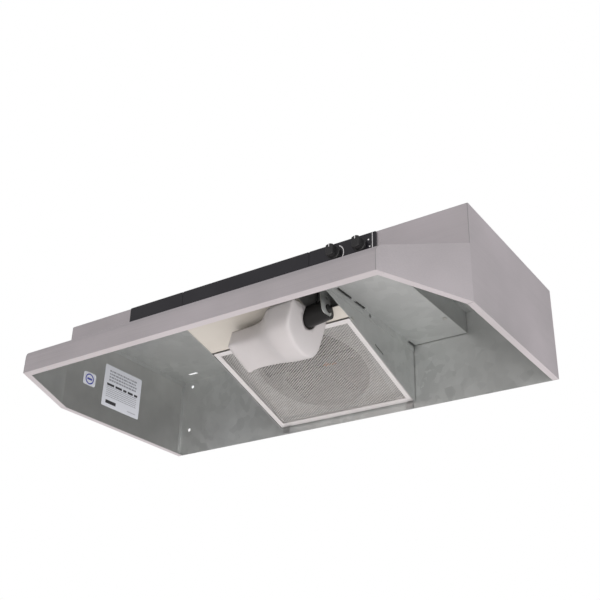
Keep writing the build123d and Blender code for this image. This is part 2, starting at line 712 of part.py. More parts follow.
def lamp_cap():
    """Screw cap of the bulb, inside the socket."""
    cap = rod(along_socket(3), socket_axis(), CAP_R, 26)
    return cap - rod(along_socket(-1), socket_axis(), CAP_BORE, 8)


def lamp_bulb():
    """Glass envelope, ball and neck, turned about the socket's axis."""
    neck_length = BULB_FROM_MOUTH + BULB_NECK_IN
    outline = Circle(BULB_R)
    outline += Pos(0, neck_length / 2) * Rectangle(2 * (CAP_BORE - 0.5), neck_length)
    outline &= Pos(BULB_R, 0) * Rectangle(2 * BULB_R, 4 * neck_length)
    bulb = revolve(Plane.XZ * outline, Axis.Z)
    seat = Plane(origin=along_socket(-BULB_FROM_MOUTH), x_dir=(0, 1, 0), z_dir=socket_axis())
    return seat.location * bulb


def socket_bracket():
    """Bent strap that carries the socket from the housing wall."""
    back = along_socket(SOCKET_LENGTH + LAP)
    middle_y = SOCKET_Y - 6
    plate = Plane(origin=back, x_dir=(0, 1, 0), z_dir=socket_axis())
    height = BRACKET_HIGH - BRACKET_LOW
    offset_up = (BRACKET_HIGH + BRACKET_LOW) / 2 - back[2]
    corner = BRACKET_WIDTH * 0.3
    outline = Pos(middle_y - SOCKET_Y, offset_up) * RectangleRounded(BRACKET_WIDTH, height, corner)
    outline -= Circle(BOSS_R + LAP)
    outline -= Pos(0, SOCKET_R + 2) * Circle(BRACKET_HOLE_R)
    strap = extrude(plate * outline, BRACKET_SHEET)
    wall_x = HOUSING_HALF - LAP
    y0 = middle_y - BRACKET_ARM / 2
    y1 = middle_y + BRACKET_ARM / 2
    top = BRACKET_HIGH - 1.0
    lean = (top - back[2]) * math.tan(math.radians(SOCKET_TILT))
    strap += slab(back[0] - lean + BRACKET_SHEET / 2, wall_x, y0, y1, top - BRACKET_SHEET, top)
    return strap + slab(wall_x - BRACKET_SHEET, wall_x, y0, y1, top - BRACKET_SHEET, top + 18)


# ---------------------------------------------------------------- controls


def strip_plate(x0, x1):
    """One plate of the black control strip."""
    middle = (STRIP_LOW + STRIP_HIGH) / 2
    front = Plane(((x0 + x1) / 2, -BOX_DEPTH - LAP, middle), x_dir=(1, 0, 0), z_dir=(0, -1, 0))
    outline = RectangleRounded(x1 - x0, STRIP_HIGH - STRIP_LOW, 1.5)
    return extrude(front * outline, STRIP_THICK)


def control_plate():
    """Right-hand plate, with the two holes for the switch bushes."""
    plate = strip_plate(STRIP_SEAM + 0.3, STRIP_HALF)
    for x in (FAN_KNOB_X, LIGHT_KNOB_X):
        plate -= rod((x, -BOX_DEPTH - 10, KNOB_Z), (0, 1, 0), BUSH_R + LAP, 20)
    return plate


def knob_face_y():
    """Rear face of a knob, just in front of its switch nut."""
    return -BOX_DEPTH - LAP - STRIP_THICK - BUSH_PROUD - KNOB_GAP


def knob(x):
    """Round skirt, a finger grip with two flats, and a bore for the shaft."""
    base_y = knob_face_y()
    skirt = rod((x, base_y, KNOB_Z), (0, -1, 0), KNOB_R, KNOB_SKIRT)
    skirt = chamfer(skirt.edges().sort_by(Axis.Y)[0], 0.8)
    face = Plane((x, base_y - KNOB_SKIRT, KNOB_Z), x_dir=(1, 0, 0), z_dir=(0, -1, 0))
    outline = Circle(KNOB_R * 0.92) & Rectangle(KNOB_GRIP, KNOB_R * 2)
    grip = extrude(face * outline, KNOB_DEPTH - KNOB_SKIRT)
    grip = fillet(grip.faces().sort_by(Axis.Y)[0].edges(), 1.4)
    return skirt + grip - rod((x, base_y + 1, KNOB_Z), (0, -1, 0), SHAFT_R, KNOB_BORE + 1)


def switch_shaft(x):
    """Plastic spindle from the switch into the knob."""
    end = knob_face_y() - KNOB_BORE
    inside = -BOX_DEPTH + SHEET + 6
    return rod((x, end, KNOB_Z), (0, 1, 0), SHAFT_R, inside - end)


def terminals(x, width):
    """X places of a switch's two blade terminals."""
    return (x - width / 4, x + width / 4)


def switch_rear(depth):
    """Rear end of a switch's terminals."""
    return -BOX_DEPTH + SHEET + LAP + depth + TERMINAL


def switch_body(x, size):
    """Switch behind the front panel, with its threaded bush through the panel."""
    width, depth = size
    front = -BOX_DEPTH + SHEET + LAP
    low = KNOB_Z - SWITCH_LOW
    body = slab(x - width / 2, x + width / 2, front, front + depth, low, KNOB_Z + SWITCH_HIGH)
    bush_front = -BOX_DEPTH - LAP - STRIP_THICK - BUSH_PROUD
    bush = rod((x, bush_front, KNOB_Z), (0, 1, 0), BUSH_R, front - bush_front + LAP)
    hollow = rod((x, bush_front - 1, KNOB_Z), (0, 1, 0), SHAFT_R + PIN_CLEAR, front - bush_front + 7)
    for place in terminals(x, width):
        body += slab(place - 3, place + 3, front + depth, switch_rear(depth), KNOB_Z - 0.4, KNOB_Z + 0.4)
    return body + bush - hollow


def switch_nuts():
    """Two thin nuts that clamp the switches to the control plate."""
    nuts = []
    for x in (FAN_KNOB_X, LIGHT_KNOB_X):
        face = Plane((x, -BOX_DEPTH - LAP - STRIP_THICK - 0.02, KNOB_Z), x_dir=(1, 0, 0), z_dir=(0, -1, 0))
        nuts.append(extrude(face * (RegularPolygon(NUT_R, 6) - Circle(BUSH_R + 0.02)), NUT_THICK))
    return nuts


# ---------------------------------------------------------------- wiring compartment


def cover_hole():
    """Round hole through the cover's flange and the housing wall behind it."""
    start = (HOUSING_HALF - 1, COVER_HOLE_Y, BOX_FLOOR - COVER_FLANGE / 2)
    return rod(start, (1, 0, 0), SLOT_R, 2 * SHEET + LAP + 3)


def wiring_cover():
    """Floor of the compartment, with a flange down along the housing wall."""
    left = HOUSING_HALF + SHEET + LAP
    right = BOX_RIGHT - LAP
    front = PAN_FRONT_Y + LAP
    back = -SHEET - SEAM
    low = BOX_FLOOR - COVER_FLANGE
    cover = slab(left, right, front, back, BOX_FLOOR, BOX_FLOOR + SHEET)
    cover += slab(left, left + SHEET, front, back, low, BOX_FLOOR + SHEET)
    for y0, y1 in COVER_SLOTS:
        slit_low = BOX_FLOOR - COVER_SLOT_LOW
        cover -= slab(left - 1, left + SHEET + COVER_SLOT_IN, y0, y1, slit_low, BOX_FLOOR + SHEET + 1)
    return cover - cover_hole()


def wiring_box_wall():
    """Right wall of the compartment, with a flange under the top panel."""
    front = PAN_FRONT_Y + LAP
    back = -SHEET - SEAM
    ledge = BOX_FLOOR + SHEET + LAP
    wall = slab(BOX_RIGHT, BOX_RIGHT + SHEET, front, back, BOX_FLOOR, TOP_IN)
    wall += slab(BOX_RIGHT, BOX_RIGHT + BOX_FLANGE, front, back, TOP_IN - SHEET, TOP_IN)
    return wall + slab(BOX_RIGHT - BOX_FLANGE, BOX_RIGHT, front, back, ledge, ledge + SHEET)


def cover_screws():
    """Two sheet metal screws up through the wiring cover."""
    x = BOX_RIGHT - BOX_FLANGE * 0.75
    top = BOX_FLOOR - 0.02
    return [rod((x, y, top), (0, 0, -1), SCREW_HEAD_R, SCREW_HEAD_HIGH) for y in COVER_SCREW_YS]


def wire_nuts():
    """Three twist-on connectors on the compartment floor."""
    nuts = []
    for y in WIRE_NUT_YS:
        mouth = Plane(origin=(WIRE_NUT_X, y, WIRE_NUT_Z), z_dir=(1, 0, 0))
        nuts.append(extrude(mouth * Circle(WIRE_NUT_R), WIRE_NUT_LENGTH, taper=8))
    return nuts


def ground_screw():
    """Green screw for the ground lead, in the compartment's right wall."""
    return rod((BOX_RIGHT - 0.02, -100, BOX_FLOOR + 20), (-1, 0, 0), 4.2, 3.0)


def lead_bushings():
    """Two plastic bushings that line the lead holes in the right housing wall."""
    bushings = []
    for y, z in (MOTOR_HOLE, LAMP_HOLE):
        barrel = rod((HOUSING_HALF - 1.6, y, z), (1, 0, 0), BUSHING_R - LAP, SHEET + 3.2)
        rim = rod((HOUSING_HALF - 2.6, y, z), (1, 0, 0), BUSHING_R + 1.6, 2.5)
        bushings.append(barrel + rim - rod((HOUSING_HALF - 5, y, z), (1, 0, 0), BUSHING_BORE, 10))
    return bushings


def lead(points, diameter):
    """A wire: straight runs joined by arcs as large as the runs allow."""
    radii = []
    for a, b, c in zip(points, points[1:], points[2:]):
        first = Vector(*b) - Vector(*a)
        second = Vector(*c) - Vector(*b)
        turn = math.radians(first.get_angle(second))
        radii.append(0.45 * min(first.length, second.length) / math.tan(turn / 2))
    path = FilletPolyline(*points, radius=radii)
    start = Plane(origin=path @ 0, z_dir=path % 0)
    return sweep(start * Circle(diameter / 2), path)


def motor_lead():
    """From the motor's winding, through its bushing, to the first wire nut."""
    coil = motor_terminal()
    hole_y, hole_z = MOTOR_HOLE
    return lead(
        [
            coil,
            (coil[0] + 26, coil[1], coil[2]),
            (HOUSING_HALF - 42, hole_y + 3, hole_z - 6),
            (HOUSING_HALF - 12, hole_y, hole_z),
            (HOUSING_HALF + 14, hole_y, hole_z),
            (WIRE_NUT_X - 16, WIRE_NUT_YS[0], WIRE_NUT_Z),
            (WIRE_NUT_X - 0.05, WIRE_NUT_YS[0], WIRE_NUT_Z),
        ],
        LEAD,
    )


def lamp_lead():
    """From the light switch, through its bushing, to the top of the lampholder."""
    hole_y, hole_z = LAMP_HOLE
    start = terminals(LIGHT_KNOB_X, LIGHT_SWITCH[0])[1]
    landing = along_socket(SOCKET_LENGTH * 0.5)
    return lead(
        [
            (start, switch_rear(LIGHT_SWITCH[1]) + 0.05, KNOB_Z),
            (start, switch_rear(LIGHT_SWITCH[1]) + 16, KNOB_Z),
            (start - 30, hole_y + 10, KNOB_Z + 7),
            (HOUSING_HALF + 40, hole_y + 4, hole_z + 9),
            (HOUSING_HALF + 12, hole_y, hole_z),
            (HOUSING_HALF - 12, hole_y, hole_z),
            (landing[0] + 2, SOCKET_Y, hole_z - 4),
            (landing[0], SOCKET_Y, landing[2] + SOCKET_R + 0.9),
        ],
        THIN_LEAD,
    )


def switch_leads():
    """From the other two wire nuts to the fan speed switch and to the light switch."""
    fan_x = terminals(FAN_KNOB_X, FAN_SWITCH[0])[0]
    fan_y = switch_rear(FAN_SWITCH[1])
    light_x = terminals(LIGHT_KNOB_X, LIGHT_SWITCH[0])[0]
    light_y = switch_rear(LIGHT_SWITCH[1])
    to_fan = [
        (WIRE_NUT_X - 0.05, WIRE_NUT_YS[1], WIRE_NUT_Z),
        (WIRE_NUT_X - 18, WIRE_NUT_YS[1], WIRE_NUT_Z),
        (fan_x - 8, WIRE_NUT_YS[1] - 50, WIRE_NUT_Z - 3),
        (fan_x, fan_y + 30, KNOB_Z - 13),
        (fan_x, fan_y + 0.05, KNOB_Z),
    ]
    to_light = [
        (WIRE_NUT_X - 0.05, WIRE_NUT_YS[2], WIRE_NUT_Z),
        (WIRE_NUT_X - 12, WIRE_NUT_YS[2], WIRE_NUT_Z),
        (WIRE_NUT_X - 4, WIRE_NUT_YS[2] - 40, WIRE_NUT_Z + 1),
        (light_x, light_y + 34, KNOB_Z - 10),
        (light_x, light_y + 0.05, KNOB_Z),
    ]
    return [lead(to_fan, THIN_LEAD), lead(to_light, THIN_LEAD)]


# ---------------------------------------------------------------- duct connector


def duct_box():
    """Outside of the collar: half width, front y and rear y."""
    return DUCT_X / 2 - DUCT_CLEAR, -DUCT_REAR - DUCT_Y + DUCT_CLEAR, -DUCT_REAR - DUCT_CLEAR


def duct_connector():
    """Rectangular collar on the top panel, with an outside flange and a ledge for the flap."""
    half, front, rear = duct_box()
    base = HEIGHT + LAP
    out = DUCT_FLANGE
    collar = slab(-half, half, front, rear, base, base + DUCT_RISE)
    collar += slab(-half - out, half + out, front - out, rear + out, base, base + SHEET)
    collar -= slab(-half + SHEET, half - SHEET, front + SHEET, rear - SHEET, base - 1, base + DUCT_RISE + 1)
    ledge = flap_low() - SHEET - FLAP_REST_GAP
    inner_rear = rear - SHEET
    collar += slab(-half + SHEET, half - SHEET, inner_rear - FLAP_LEDGE, inner_rear, ledge, ledge + SHEET)
    hole = rod((-half - 1, flap_axis_y(), base + FLAP_AT), (1, 0, 0), FLAP_PIN_R + PIN_CLEAR, 2 * half + 2)
    return collar - hole


def flap_axis_y():
    """The flap's pins sit near the front wall of the collar."""
    return duct_box()[1] + SHEET + 6.0


def flap_low():
    """Lower face of the flap's sheet."""
    return HEIGHT + LAP + FLAP_AT - FLAP_PIN_R - SHEET


def damper_flap():
    """Sheet flap that lies across the collar and lifts with the air."""
    half, _, rear = duct_box()
    half_flap = half - SHEET - FLAP_CLEAR
    y = flap_axis_y()
    low = flap_low()
    z = HEIGHT + LAP + FLAP_AT
    flap = slab(-half_flap, half_flap, y - 3.4, rear - SHEET - FLAP_CLEAR, low, low + SHEET)
    rib = slab(-half_flap, half_flap, y - 3.0, y + 3.0, low, z)
    return flap + rib + rod((-half - 1, y, z), (1, 0, 0), FLAP_PIN_R, 2 * half + 2)


def duct_screws():
    """Four screws through the connector's flange."""
    half, front, rear = duct_box()
    screws = []
    for x in (-half - DUCT_FLANGE * 0.55, half + DUCT_FLANGE * 0.55):
        for y in (rear - 16, front + 16):
            screws.append(rod((x, y, HEIGHT + LAP + SHEET + 0.02), (0, 0, 1), 3.6, 2.2))
    return screws


# ---------------------------------------------------------------- stickers


def sticker(y0, y1, z0, z1, corner):
    """Thin printed label on the inside of the left wall."""
    wall = Plane((-WIDTH / 2 + SHEET + 0.02, (y0 + y1) / 2, (z0 + z1) / 2), x_dir=(0, 1, 0), z_dir=(1, 0, 0))
    return extrude(wall * RectangleRounded(y1 - y0, z1 - z0, corner), 0.3)


# ---------------------------------------------------------------- the hood

os.makedirs("parts", exist_ok=True)

save("front_visor", front_visor())
save("left_side_panel", side_panel(-1))
save("right_side_panel", side_panel(1))
save("top_panel", top_panel())
save("back_panel", back_panel())
save("housing_wall_left", housing_wall(-1))
save("housing_wall_right", housing_wall(1))
save("fan_plate", fan_plate())
save("filter_frame", filter_frame())
save("filter_mesh", filter_mesh())
save("filter_pins", *filter_pins())
save("filter_clips", *filter_clips())
save("fan_blade", fan_blade())
save("blade_nut", blade_nut())
save("rotor_shaft", rotor_shaft())
save("motor_core", motor_core())
save("motor_coil", motor_coil())
save("motor_caps", *motor_caps())
save("motor_bracket", motor_bracket())
save("motor_screws", *motor_screws())
save("light_pan", light_pan())
save("light_lens", light_lens())
save("lamp_socket", lamp_socket())
save("lamp_cap", lamp_cap())
save("lamp_bulb", lamp_bulb())
save("socket_bracket", socket_bracket())
save("strip_left", strip_plate(-STRIP_HALF, -STRIP_SEAM - 0.3))
save("strip_centre", strip_plate(-STRIP_SEAM + 0.3, STRIP_SEAM - 0.3))
save("control_plate", control_plate())
save("fan_knob", knob(FAN_KNOB_X))
save("fan_switch_shaft", switch_shaft(FAN_KNOB_X))
save("fan_speed_switch", switch_body(FAN_KNOB_X, FAN_SWITCH))
save("light_knob", knob(LIGHT_KNOB_X))
save("light_switch_shaft", switch_shaft(LIGHT_KNOB_X))
save("light_switch", switch_body(LIGHT_KNOB_X, LIGHT_SWITCH))
save("switch_nuts", *switch_nuts())
save("wiring_cover", wiring_cover())
save("wiring_box_wall", wiring_box_wall())
save("cover_screws", *cover_screws())
save("wire_nuts", *wire_nuts())
save("ground_screw", ground_screw())
save("lead_bushings", *lead_bushings())
save("motor_lead", motor_lead())
save("lamp_lead", lamp_lead())
save("switch_leads", *switch_leads())
save("duct_connector", duct_connector())
save("damper_flap", damper_flap())
save("duct_screws", *duct_screws())
save("rating_label", sticker(-217, -122, 36, 115, 2))
save("round_cornered_sticker", sticker(-266, -237, 60, 84, 4))
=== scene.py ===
# %% [markdown]
# # An under-cabinet range hood
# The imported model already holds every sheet, screw and knob at its real place, in metres, with Z up and
# the origin on the hood's top face. This lesson dresses it: camera and light first, then the finishes,
# then the pieces whose detail is too fine for the engineering model, such as the filter's mesh.

# %% Load the frame
import json
import math
import random

import bmesh
import bpy
from mathutils import Matrix, Vector


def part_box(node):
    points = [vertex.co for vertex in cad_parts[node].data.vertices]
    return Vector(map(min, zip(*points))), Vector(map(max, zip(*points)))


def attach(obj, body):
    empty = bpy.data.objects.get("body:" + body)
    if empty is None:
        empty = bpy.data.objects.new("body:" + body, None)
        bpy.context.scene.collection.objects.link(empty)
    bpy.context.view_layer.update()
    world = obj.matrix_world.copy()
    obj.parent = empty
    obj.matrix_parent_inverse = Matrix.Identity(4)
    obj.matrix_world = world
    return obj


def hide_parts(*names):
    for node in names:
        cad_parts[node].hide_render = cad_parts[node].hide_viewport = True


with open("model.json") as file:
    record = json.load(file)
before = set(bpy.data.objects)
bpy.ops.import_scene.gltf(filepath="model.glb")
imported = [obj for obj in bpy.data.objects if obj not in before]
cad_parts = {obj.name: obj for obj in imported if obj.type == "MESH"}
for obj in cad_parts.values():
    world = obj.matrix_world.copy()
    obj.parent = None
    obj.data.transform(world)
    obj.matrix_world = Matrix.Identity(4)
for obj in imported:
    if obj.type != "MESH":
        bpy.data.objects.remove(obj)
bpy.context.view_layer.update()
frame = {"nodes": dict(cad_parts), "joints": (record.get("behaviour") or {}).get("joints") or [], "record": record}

MM = 0.001
nodes = frame["nodes"]

# %% [markdown]
# ## Camera
# The hood hangs above eye level, so the camera looks up at it from the front right. A camera in Blender
# looks along its own -Z, and `to_track_quat` turns that axis towards a direction. A small roll about the
# line of sight follows, because whoever held the camera didn't hold it quite level.

# %% Camera
CAMERA_PLACE = Vector((0.8141, -1.1655, -0.7107))
CAMERA_LOOK = Vector((-0.5088, 0.7298, 0.4566))
CAMERA_ROLL = math.radians(1.58)
CAMERA_LENS = 56.54
SENSOR_WIDTH = 36


def make_camera():
    """A camera at the viewer's place, rolled a little."""
    data = bpy.data.cameras.new("camera")
    data.lens = CAMERA_LENS
    data.sensor_width = SENSOR_WIDTH
    camera = bpy.data.objects.new("camera", data)
    bpy.context.scene.collection.objects.link(camera)
    turn = CAMERA_LOOK.to_track_quat("-Z", "Y").to_matrix().to_4x4()
    roll = Matrix.Rotation(CAMERA_ROLL, 4, "Z")
    camera.matrix_world = Matrix.Translation(CAMERA_PLACE) @ turn @ roll
    bpy.context.scene.camera = camera


make_camera()
print("camera", tuple(CAMERA_PLACE))

# %% [markdown]
# ## Studio
# Sheet metal is mostly a picture of the room around it. The underside mirrors the pale floor, so the
# floor glows a little, like a light table, and lies far enough down to be one soft, even brightness.
# The world is white where the camera sees it and grey where the metal does: a Light Path node tells the
# two apart. Two soft boxes give the front and the right side their gentle fall-off.

# %% Floor, world and lamps
FLOOR_DROP = 1.35
FLOOR_HALF = 40.0
FLOOR_COLOUR = (0.82, 0.8, 0.79, 1)
FLOOR_ROUGH = 0.9
FLOOR_GLOW = 0.5
WORLD_SEEN = (1.0, 1.0, 1.0, 1)
WORLD_MIRRORED = (0.4, 0.39, 0.4, 1)
LAMP_TARGET = Vector((0, 0, -0.08))
LAMPS = {
    "front_box": {"place": (0.9, -2.4, -0.9), "size": 1.6, "power": 36, "tint": (1.0, 0.97, 0.96)},
    "right_box": {"place": (2.4, -0.6, -0.6), "size": 1.4, "power": 24, "tint": (0.97, 0.98, 1.0)},
}


def make_floor():
    """A wide plain floor below the hood."""
    signs = [(-1, -1), (1, -1), (1, 1), (-1, 1)]
    corners = [(x * FLOOR_HALF, y * FLOOR_HALF, -FLOOR_DROP) for x, y in signs]
    mesh = bpy.data.meshes.new("floor")
    mesh.from_pydata(corners, [], [(0, 1, 2, 3)])
    floor = bpy.data.objects.new("floor", mesh)
    bpy.context.scene.collection.objects.link(floor)
    material = bpy.data.materials.new("pale_floor")
    material.use_nodes = True
    shader = material.node_tree.nodes["Principled BSDF"]
    shader.inputs["Base Color"].default_value = FLOOR_COLOUR
    shader.inputs["Roughness"].default_value = FLOOR_ROUGH
    shader.inputs["Emission Color"].default_value = FLOOR_COLOUR
    shader.inputs["Emission Strength"].default_value = FLOOR_GLOW
    mesh.materials.append(material)


def make_world():
    """White where the camera looks, grey in reflections and fill light."""
    world = bpy.data.worlds.new("studio")
    world.use_nodes = True
    tree = world.node_tree
    tree.nodes.clear()
    output = tree.nodes.new("ShaderNodeOutputWorld")
    mix = tree.nodes.new("ShaderNodeMixShader")
    rays = tree.nodes.new("ShaderNodeLightPath")
    for index, level in ((1, WORLD_MIRRORED), (2, WORLD_SEEN)):
        background = tree.nodes.new("ShaderNodeBackground")
        background.inputs["Color"].default_value = level
        tree.links.new(background.outputs[0], mix.inputs[index])
    tree.links.new(rays.outputs["Is Camera Ray"], mix.inputs[0])
    tree.links.new(mix.outputs[0], output.inputs[0])
    bpy.context.scene.world = world


def make_lamp(name, place, size, power, tint):
    """A square soft box that faces the hood."""
    data = bpy.data.lights.new(name, "AREA")
    data.size = size
    data.energy = power
    data.color = tint
    lamp = bpy.data.objects.new(name, data)
    bpy.context.scene.collection.objects.link(lamp)
    lamp.location = place
    lamp.rotation_euler = (LAMP_TARGET - Vector(place)).to_track_quat("-Z", "Y").to_euler()


make_floor()
make_world()
for name, settings in LAMPS.items():
    make_lamp(name, **settings)
bpy.context.scene.view_settings.view_transform = "Standard"
print("studio ready")

# %% [markdown]
# ## Shader groups
# A node group is a small machine that several materials share. Each one here reads Object coordinates,
# which are metres on this model, and puts out only masks and heights: the shader itself stays in the
# material, where it can be tuned for each finish.

# %% Helpers for node trees
SOCKET_KINDS = {
    float: "NodeSocketFloat",
    tuple: "NodeSocketVector",
    type(None): "NodeSocketMaterial",
}


def open_inputs(group, inputs):
    """Input sockets from names and default values; the value's type gives the socket's kind."""
    for label, value in inputs.items():
        kind = SOCKET_KINDS[type(value)]
        socket = group.interface.new_socket(label, in_out="INPUT", socket_type=kind)
        if value is not None:
            socket.default_value = value


def new_group(name, inputs, outputs):
    """An empty shader group with named inputs, and outputs that are numbers."""
    group = bpy.data.node_groups.new(name, "ShaderNodeTree")
    open_inputs(group, inputs)
    for label in outputs:
        group.interface.new_socket(label, in_out="OUTPUT", socket_type="NodeSocketFloat")
    return group, group.nodes.new("NodeGroupInput"), group.nodes.new("NodeGroupOutput")


def join(tree, source, target):
    """Links an output socket to an input socket."""
    tree.links.new(source, target)


def feed(tree, node, sockets):
    """Gives a node's inputs, by name or number, a link or a value each."""
    for label, value in sockets.items():
        if isinstance(value, bpy.types.NodeSocket):
            join(tree, value, node.inputs[label])
        else:
            node.inputs[label].default_value = value


def add(tree, kind, sockets=None, **settings):
    """A node with its settings, and with its inputs fed."""
    node = tree.nodes.new(kind)
    for key, value in settings.items():
        setattr(node, key, value)
    feed(tree, node, sockets or {})
    return node


def math_node(tree, operation, first, second=0.0, clamp=False):
    """A Math node's result; first and second are sockets or numbers."""
    terms = {0: first, 1: second}
    return add(tree, "ShaderNodeMath", terms, operation=operation, use_clamp=clamp).outputs[0]


def vector_math(tree, operation, sockets):
    """A Vector Math node's outputs."""
    return add(tree, "ShaderNodeVectorMath", sockets, operation=operation).outputs


def object_place(tree):
    """The point's Object coordinates."""
    return add(tree, "ShaderNodeTexCoord").outputs["Object"]


def stretched_noise(tree, scale, detail, roughness):
    """Noise on Object coordinates multiplied by a scale vector."""
    stretched = vector_math(tree, "MULTIPLY", {0: object_place(tree), 1: scale})[0]
    looks = {"Vector": stretched, "Scale": 1.0, "Detail": detail, "Roughness": roughness}
    return add(tree, "ShaderNodeTexNoise", looks).outputs["Fac"]


# %% [markdown]
# ### Grain
# Brushing leaves long scratches: noise that is stretched hundreds of times more one way than the other.
# A `Stretch` vector says how fine it is along X, Y and Z, so each panel can have its own direction.

# %% Grain group
GREY = 0.5


def make_grain():
    """Long fine scratches: one value for colour and roughness, one for height."""
    inputs = {"Stretch": (6, 900, 900), "Contrast": 0.5}
    group, source, result = new_group("grain", inputs, ["Streak", "Height"])
    fine = stretched_noise(group, source.outputs["Stretch"], detail=3.0, roughness=0.6)
    centred = math_node(group, "SUBTRACT", fine, GREY)
    spread = math_node(group, "MULTIPLY", centred, source.outputs["Contrast"])
    streak = math_node(group, "ADD", spread, GREY, clamp=True)
    feed(group, result, {"Streak": streak, "Height": fine})
    return group


GRAIN = make_grain()

# %% [markdown]
# ### Haze
# No sheet leaves the press shop spotless. A slow noise with soft limits gives cloudy patches where the
# metal was handled.

# %% Haze group
HAZE_STARTS = 0.38
HAZE_FULL = 0.68


def make_haze():
    """Cloudy handling marks, 0 where clean and 1 where dull."""
    inputs = {"Size": (9, 9, 9), "Amount": 0.5}
    group, source, result = new_group("haze", inputs, ["Mask"])
    cloud = stretched_noise(group, source.outputs["Size"], detail=4.0, roughness=0.55)
    limits = {"Value": cloud, "From Min": HAZE_STARTS, "From Max": HAZE_FULL}
    ramp = add(group, "ShaderNodeMapRange", limits).outputs[0]
    mask = math_node(group, "MULTIPLY", ramp, source.outputs["Amount"], clamp=True)
    feed(group, result, {"Mask": mask})
    return group


HAZE = make_haze()

# %% [markdown]
# ### Spangle
# Hot-dip zinc freezes in flat crystals. Voronoi cells whose edges are bent by noise look like them, each
# cell a slightly different grey, and each grey a little rougher or smoother than its neighbour.

# %% Spangle group
BEND_SCALE = 60.0


def make_spangle():
    """Zinc crystals: a random value per cell."""
    inputs = {"Cells": 90.0, "Bend": 0.01}
    group, source, result = new_group("spangle", inputs, ["Crystal"])
    place = object_place(group)
    noise = add(group, "ShaderNodeTexNoise", {"Vector": place, "Scale": BEND_SCALE})
    bend = {0: noise.outputs["Color"], "Scale": source.outputs["Bend"]}
    shift = vector_math(group, "SCALE", bend)[0]
    bent = vector_math(group, "ADD", {0: place, 1: shift})[0]
    cells = add(group, "ShaderNodeTexVoronoi", {"Vector": bent, "Scale": source.outputs["Cells"]})
    split = add(group, "ShaderNodeSeparateColor", {0: cells.outputs["Color"]})
    feed(group, result, {"Crystal": split.outputs[0]})
    return group


SPANGLE = make_spangle()

# %% [markdown]
# ### Moulded grain
# Moulded plastic and baked paint share a soft pebble that breaks up a highlight.

# %% Pebble group


def make_pebble():
    """Fine rounded bumps for moulded and painted surfaces."""
    group, source, result = new_group("pebble", {"Size": (1500, 1500, 1500)}, ["Height"])
    bumps = stretched_noise(group, source.outputs["Size"], detail=2.0, roughness=0.5)
    feed(group, result, {"Height": bumps})
    return group


PEBBLE = make_pebble()
print("groups", [g.name for g in bpy.data.node_groups])

# %% [markdown]
# ## Finishes
# Each finish is a Principled shader with its colour and roughness moved up and down by the groups. The
# helpers below place a group, mix two colours by a mask and hang a bump on the normal.

# %% Helpers for materials


def new_material(name):
    """A material with its tree and its Principled shader."""
    material = bpy.data.materials.new(name)
    material.use_nodes = True
    tree = material.node_tree
    return material, tree, tree.nodes["Principled BSDF"]


def place_group(tree, group, **values):
    """A group node with its named inputs set."""
    return add(tree, "ShaderNodeGroup", values, node_tree=group)


def blend_colours(tree, mask, low, high):
    """Colour between low and high by a mask; low and high are colours or sockets."""
    mix = add(tree, "ShaderNodeMix", data_type="RGBA")
    join(tree, mask, mix.inputs["Factor"])
    for label, value in (("A", low), ("B", high)):
        socket = [s for s in mix.inputs if s.name == label and s.type == "RGBA"][0]
        if isinstance(value, tuple):
            socket.default_value = (*value, 1)
        else:
            join(tree, value, socket)
    return [s for s in mix.outputs if s.type == "RGBA"][0]


def span(tree, value, low, high):
    """Maps 0..1 to low..high."""
    limits = {"Value": value, "To Min": low, "To Max": high}
    return add(tree, "ShaderNodeMapRange", limits).outputs[0]


def bump(tree, shader, height, strength, distance):
    """Hangs a bump on the shader's normal."""
    relief = {"Height": height, "Strength": strength, "Distance": distance}
    feed(tree, shader, {"Normal": add(tree, "ShaderNodeBump", relief).outputs[0]})


# %% [markdown]
# ### Stainless shell
# The shell is one sheet with two faces: brushed and bright outside, dull and greyer inside. The side
# that a point is on follows from its normal, so a Dot Product with the panel's outward direction is the
# mask between the two finishes.

# %% Stainless steel, brushed outside and dull inside
STEEL_LIGHT = (0.78, 0.74, 0.75)
STEEL_DARK = (0.62, 0.585, 0.595)
STEEL_CLOUD = (0.86, 0.8, 0.825)
DULL_LIGHT = (0.6, 0.605, 0.595)
DULL_DARK = (0.38, 0.385, 0.38)
EDGE_ON = 0.05


def steel_sheet(name, outward, stretch):
    """Brushed steel whose inner face is duller."""
    material, tree, shader = new_material(name)
    grain = place_group(tree, GRAIN, Stretch=stretch, Contrast=0.9)
    haze = place_group(tree, HAZE, Size=(7, 7, 7), Amount=0.7)
    cloud = place_group(tree, HAZE, Size=(4, 4, 6), Amount=0.6)
    surface = add(tree, "ShaderNodeNewGeometry")
    facing = vector_math(tree, "DOT_PRODUCT", {0: surface.outputs["Normal"], 1: outward})
    outside = math_node(tree, "GREATER_THAN", facing["Value"], EDGE_ON)
    bright = blend_colours(tree, grain.outputs["Streak"], STEEL_DARK, STEEL_LIGHT)
    bright = blend_colours(tree, cloud.outputs["Mask"], bright, STEEL_CLOUD)
    dull = blend_colours(tree, haze.outputs["Mask"], DULL_LIGHT, DULL_DARK)
    colour = blend_colours(tree, outside, dull, bright)
    smooth = span(tree, haze.outputs["Mask"], low=0.34, high=0.44)
    looks = {"Base Color": colour, "Roughness": smooth, "Metallic": 0.9, "Anisotropic": 0.35}
    feed(tree, shader, looks)
    bump(tree, shader, grain.outputs["Height"], strength=0.1, distance=0.0003)
    return material


# %% [markdown]
# ### Galvanised sheet
# The top, the back and everything inside are zinc-coated: a cool grey with crystals that can only just
# be seen, and cloudy where the coating was thin.

# %% Galvanised steel
ZINC_LIGHT = (0.69, 0.705, 0.695)
ZINC_DARK = (0.46, 0.475, 0.468)
ZINC_CLOUD = (0.53, 0.54, 0.535)
ZINC_SMOOTH = 0.38
ZINC_ROUGH = 0.47


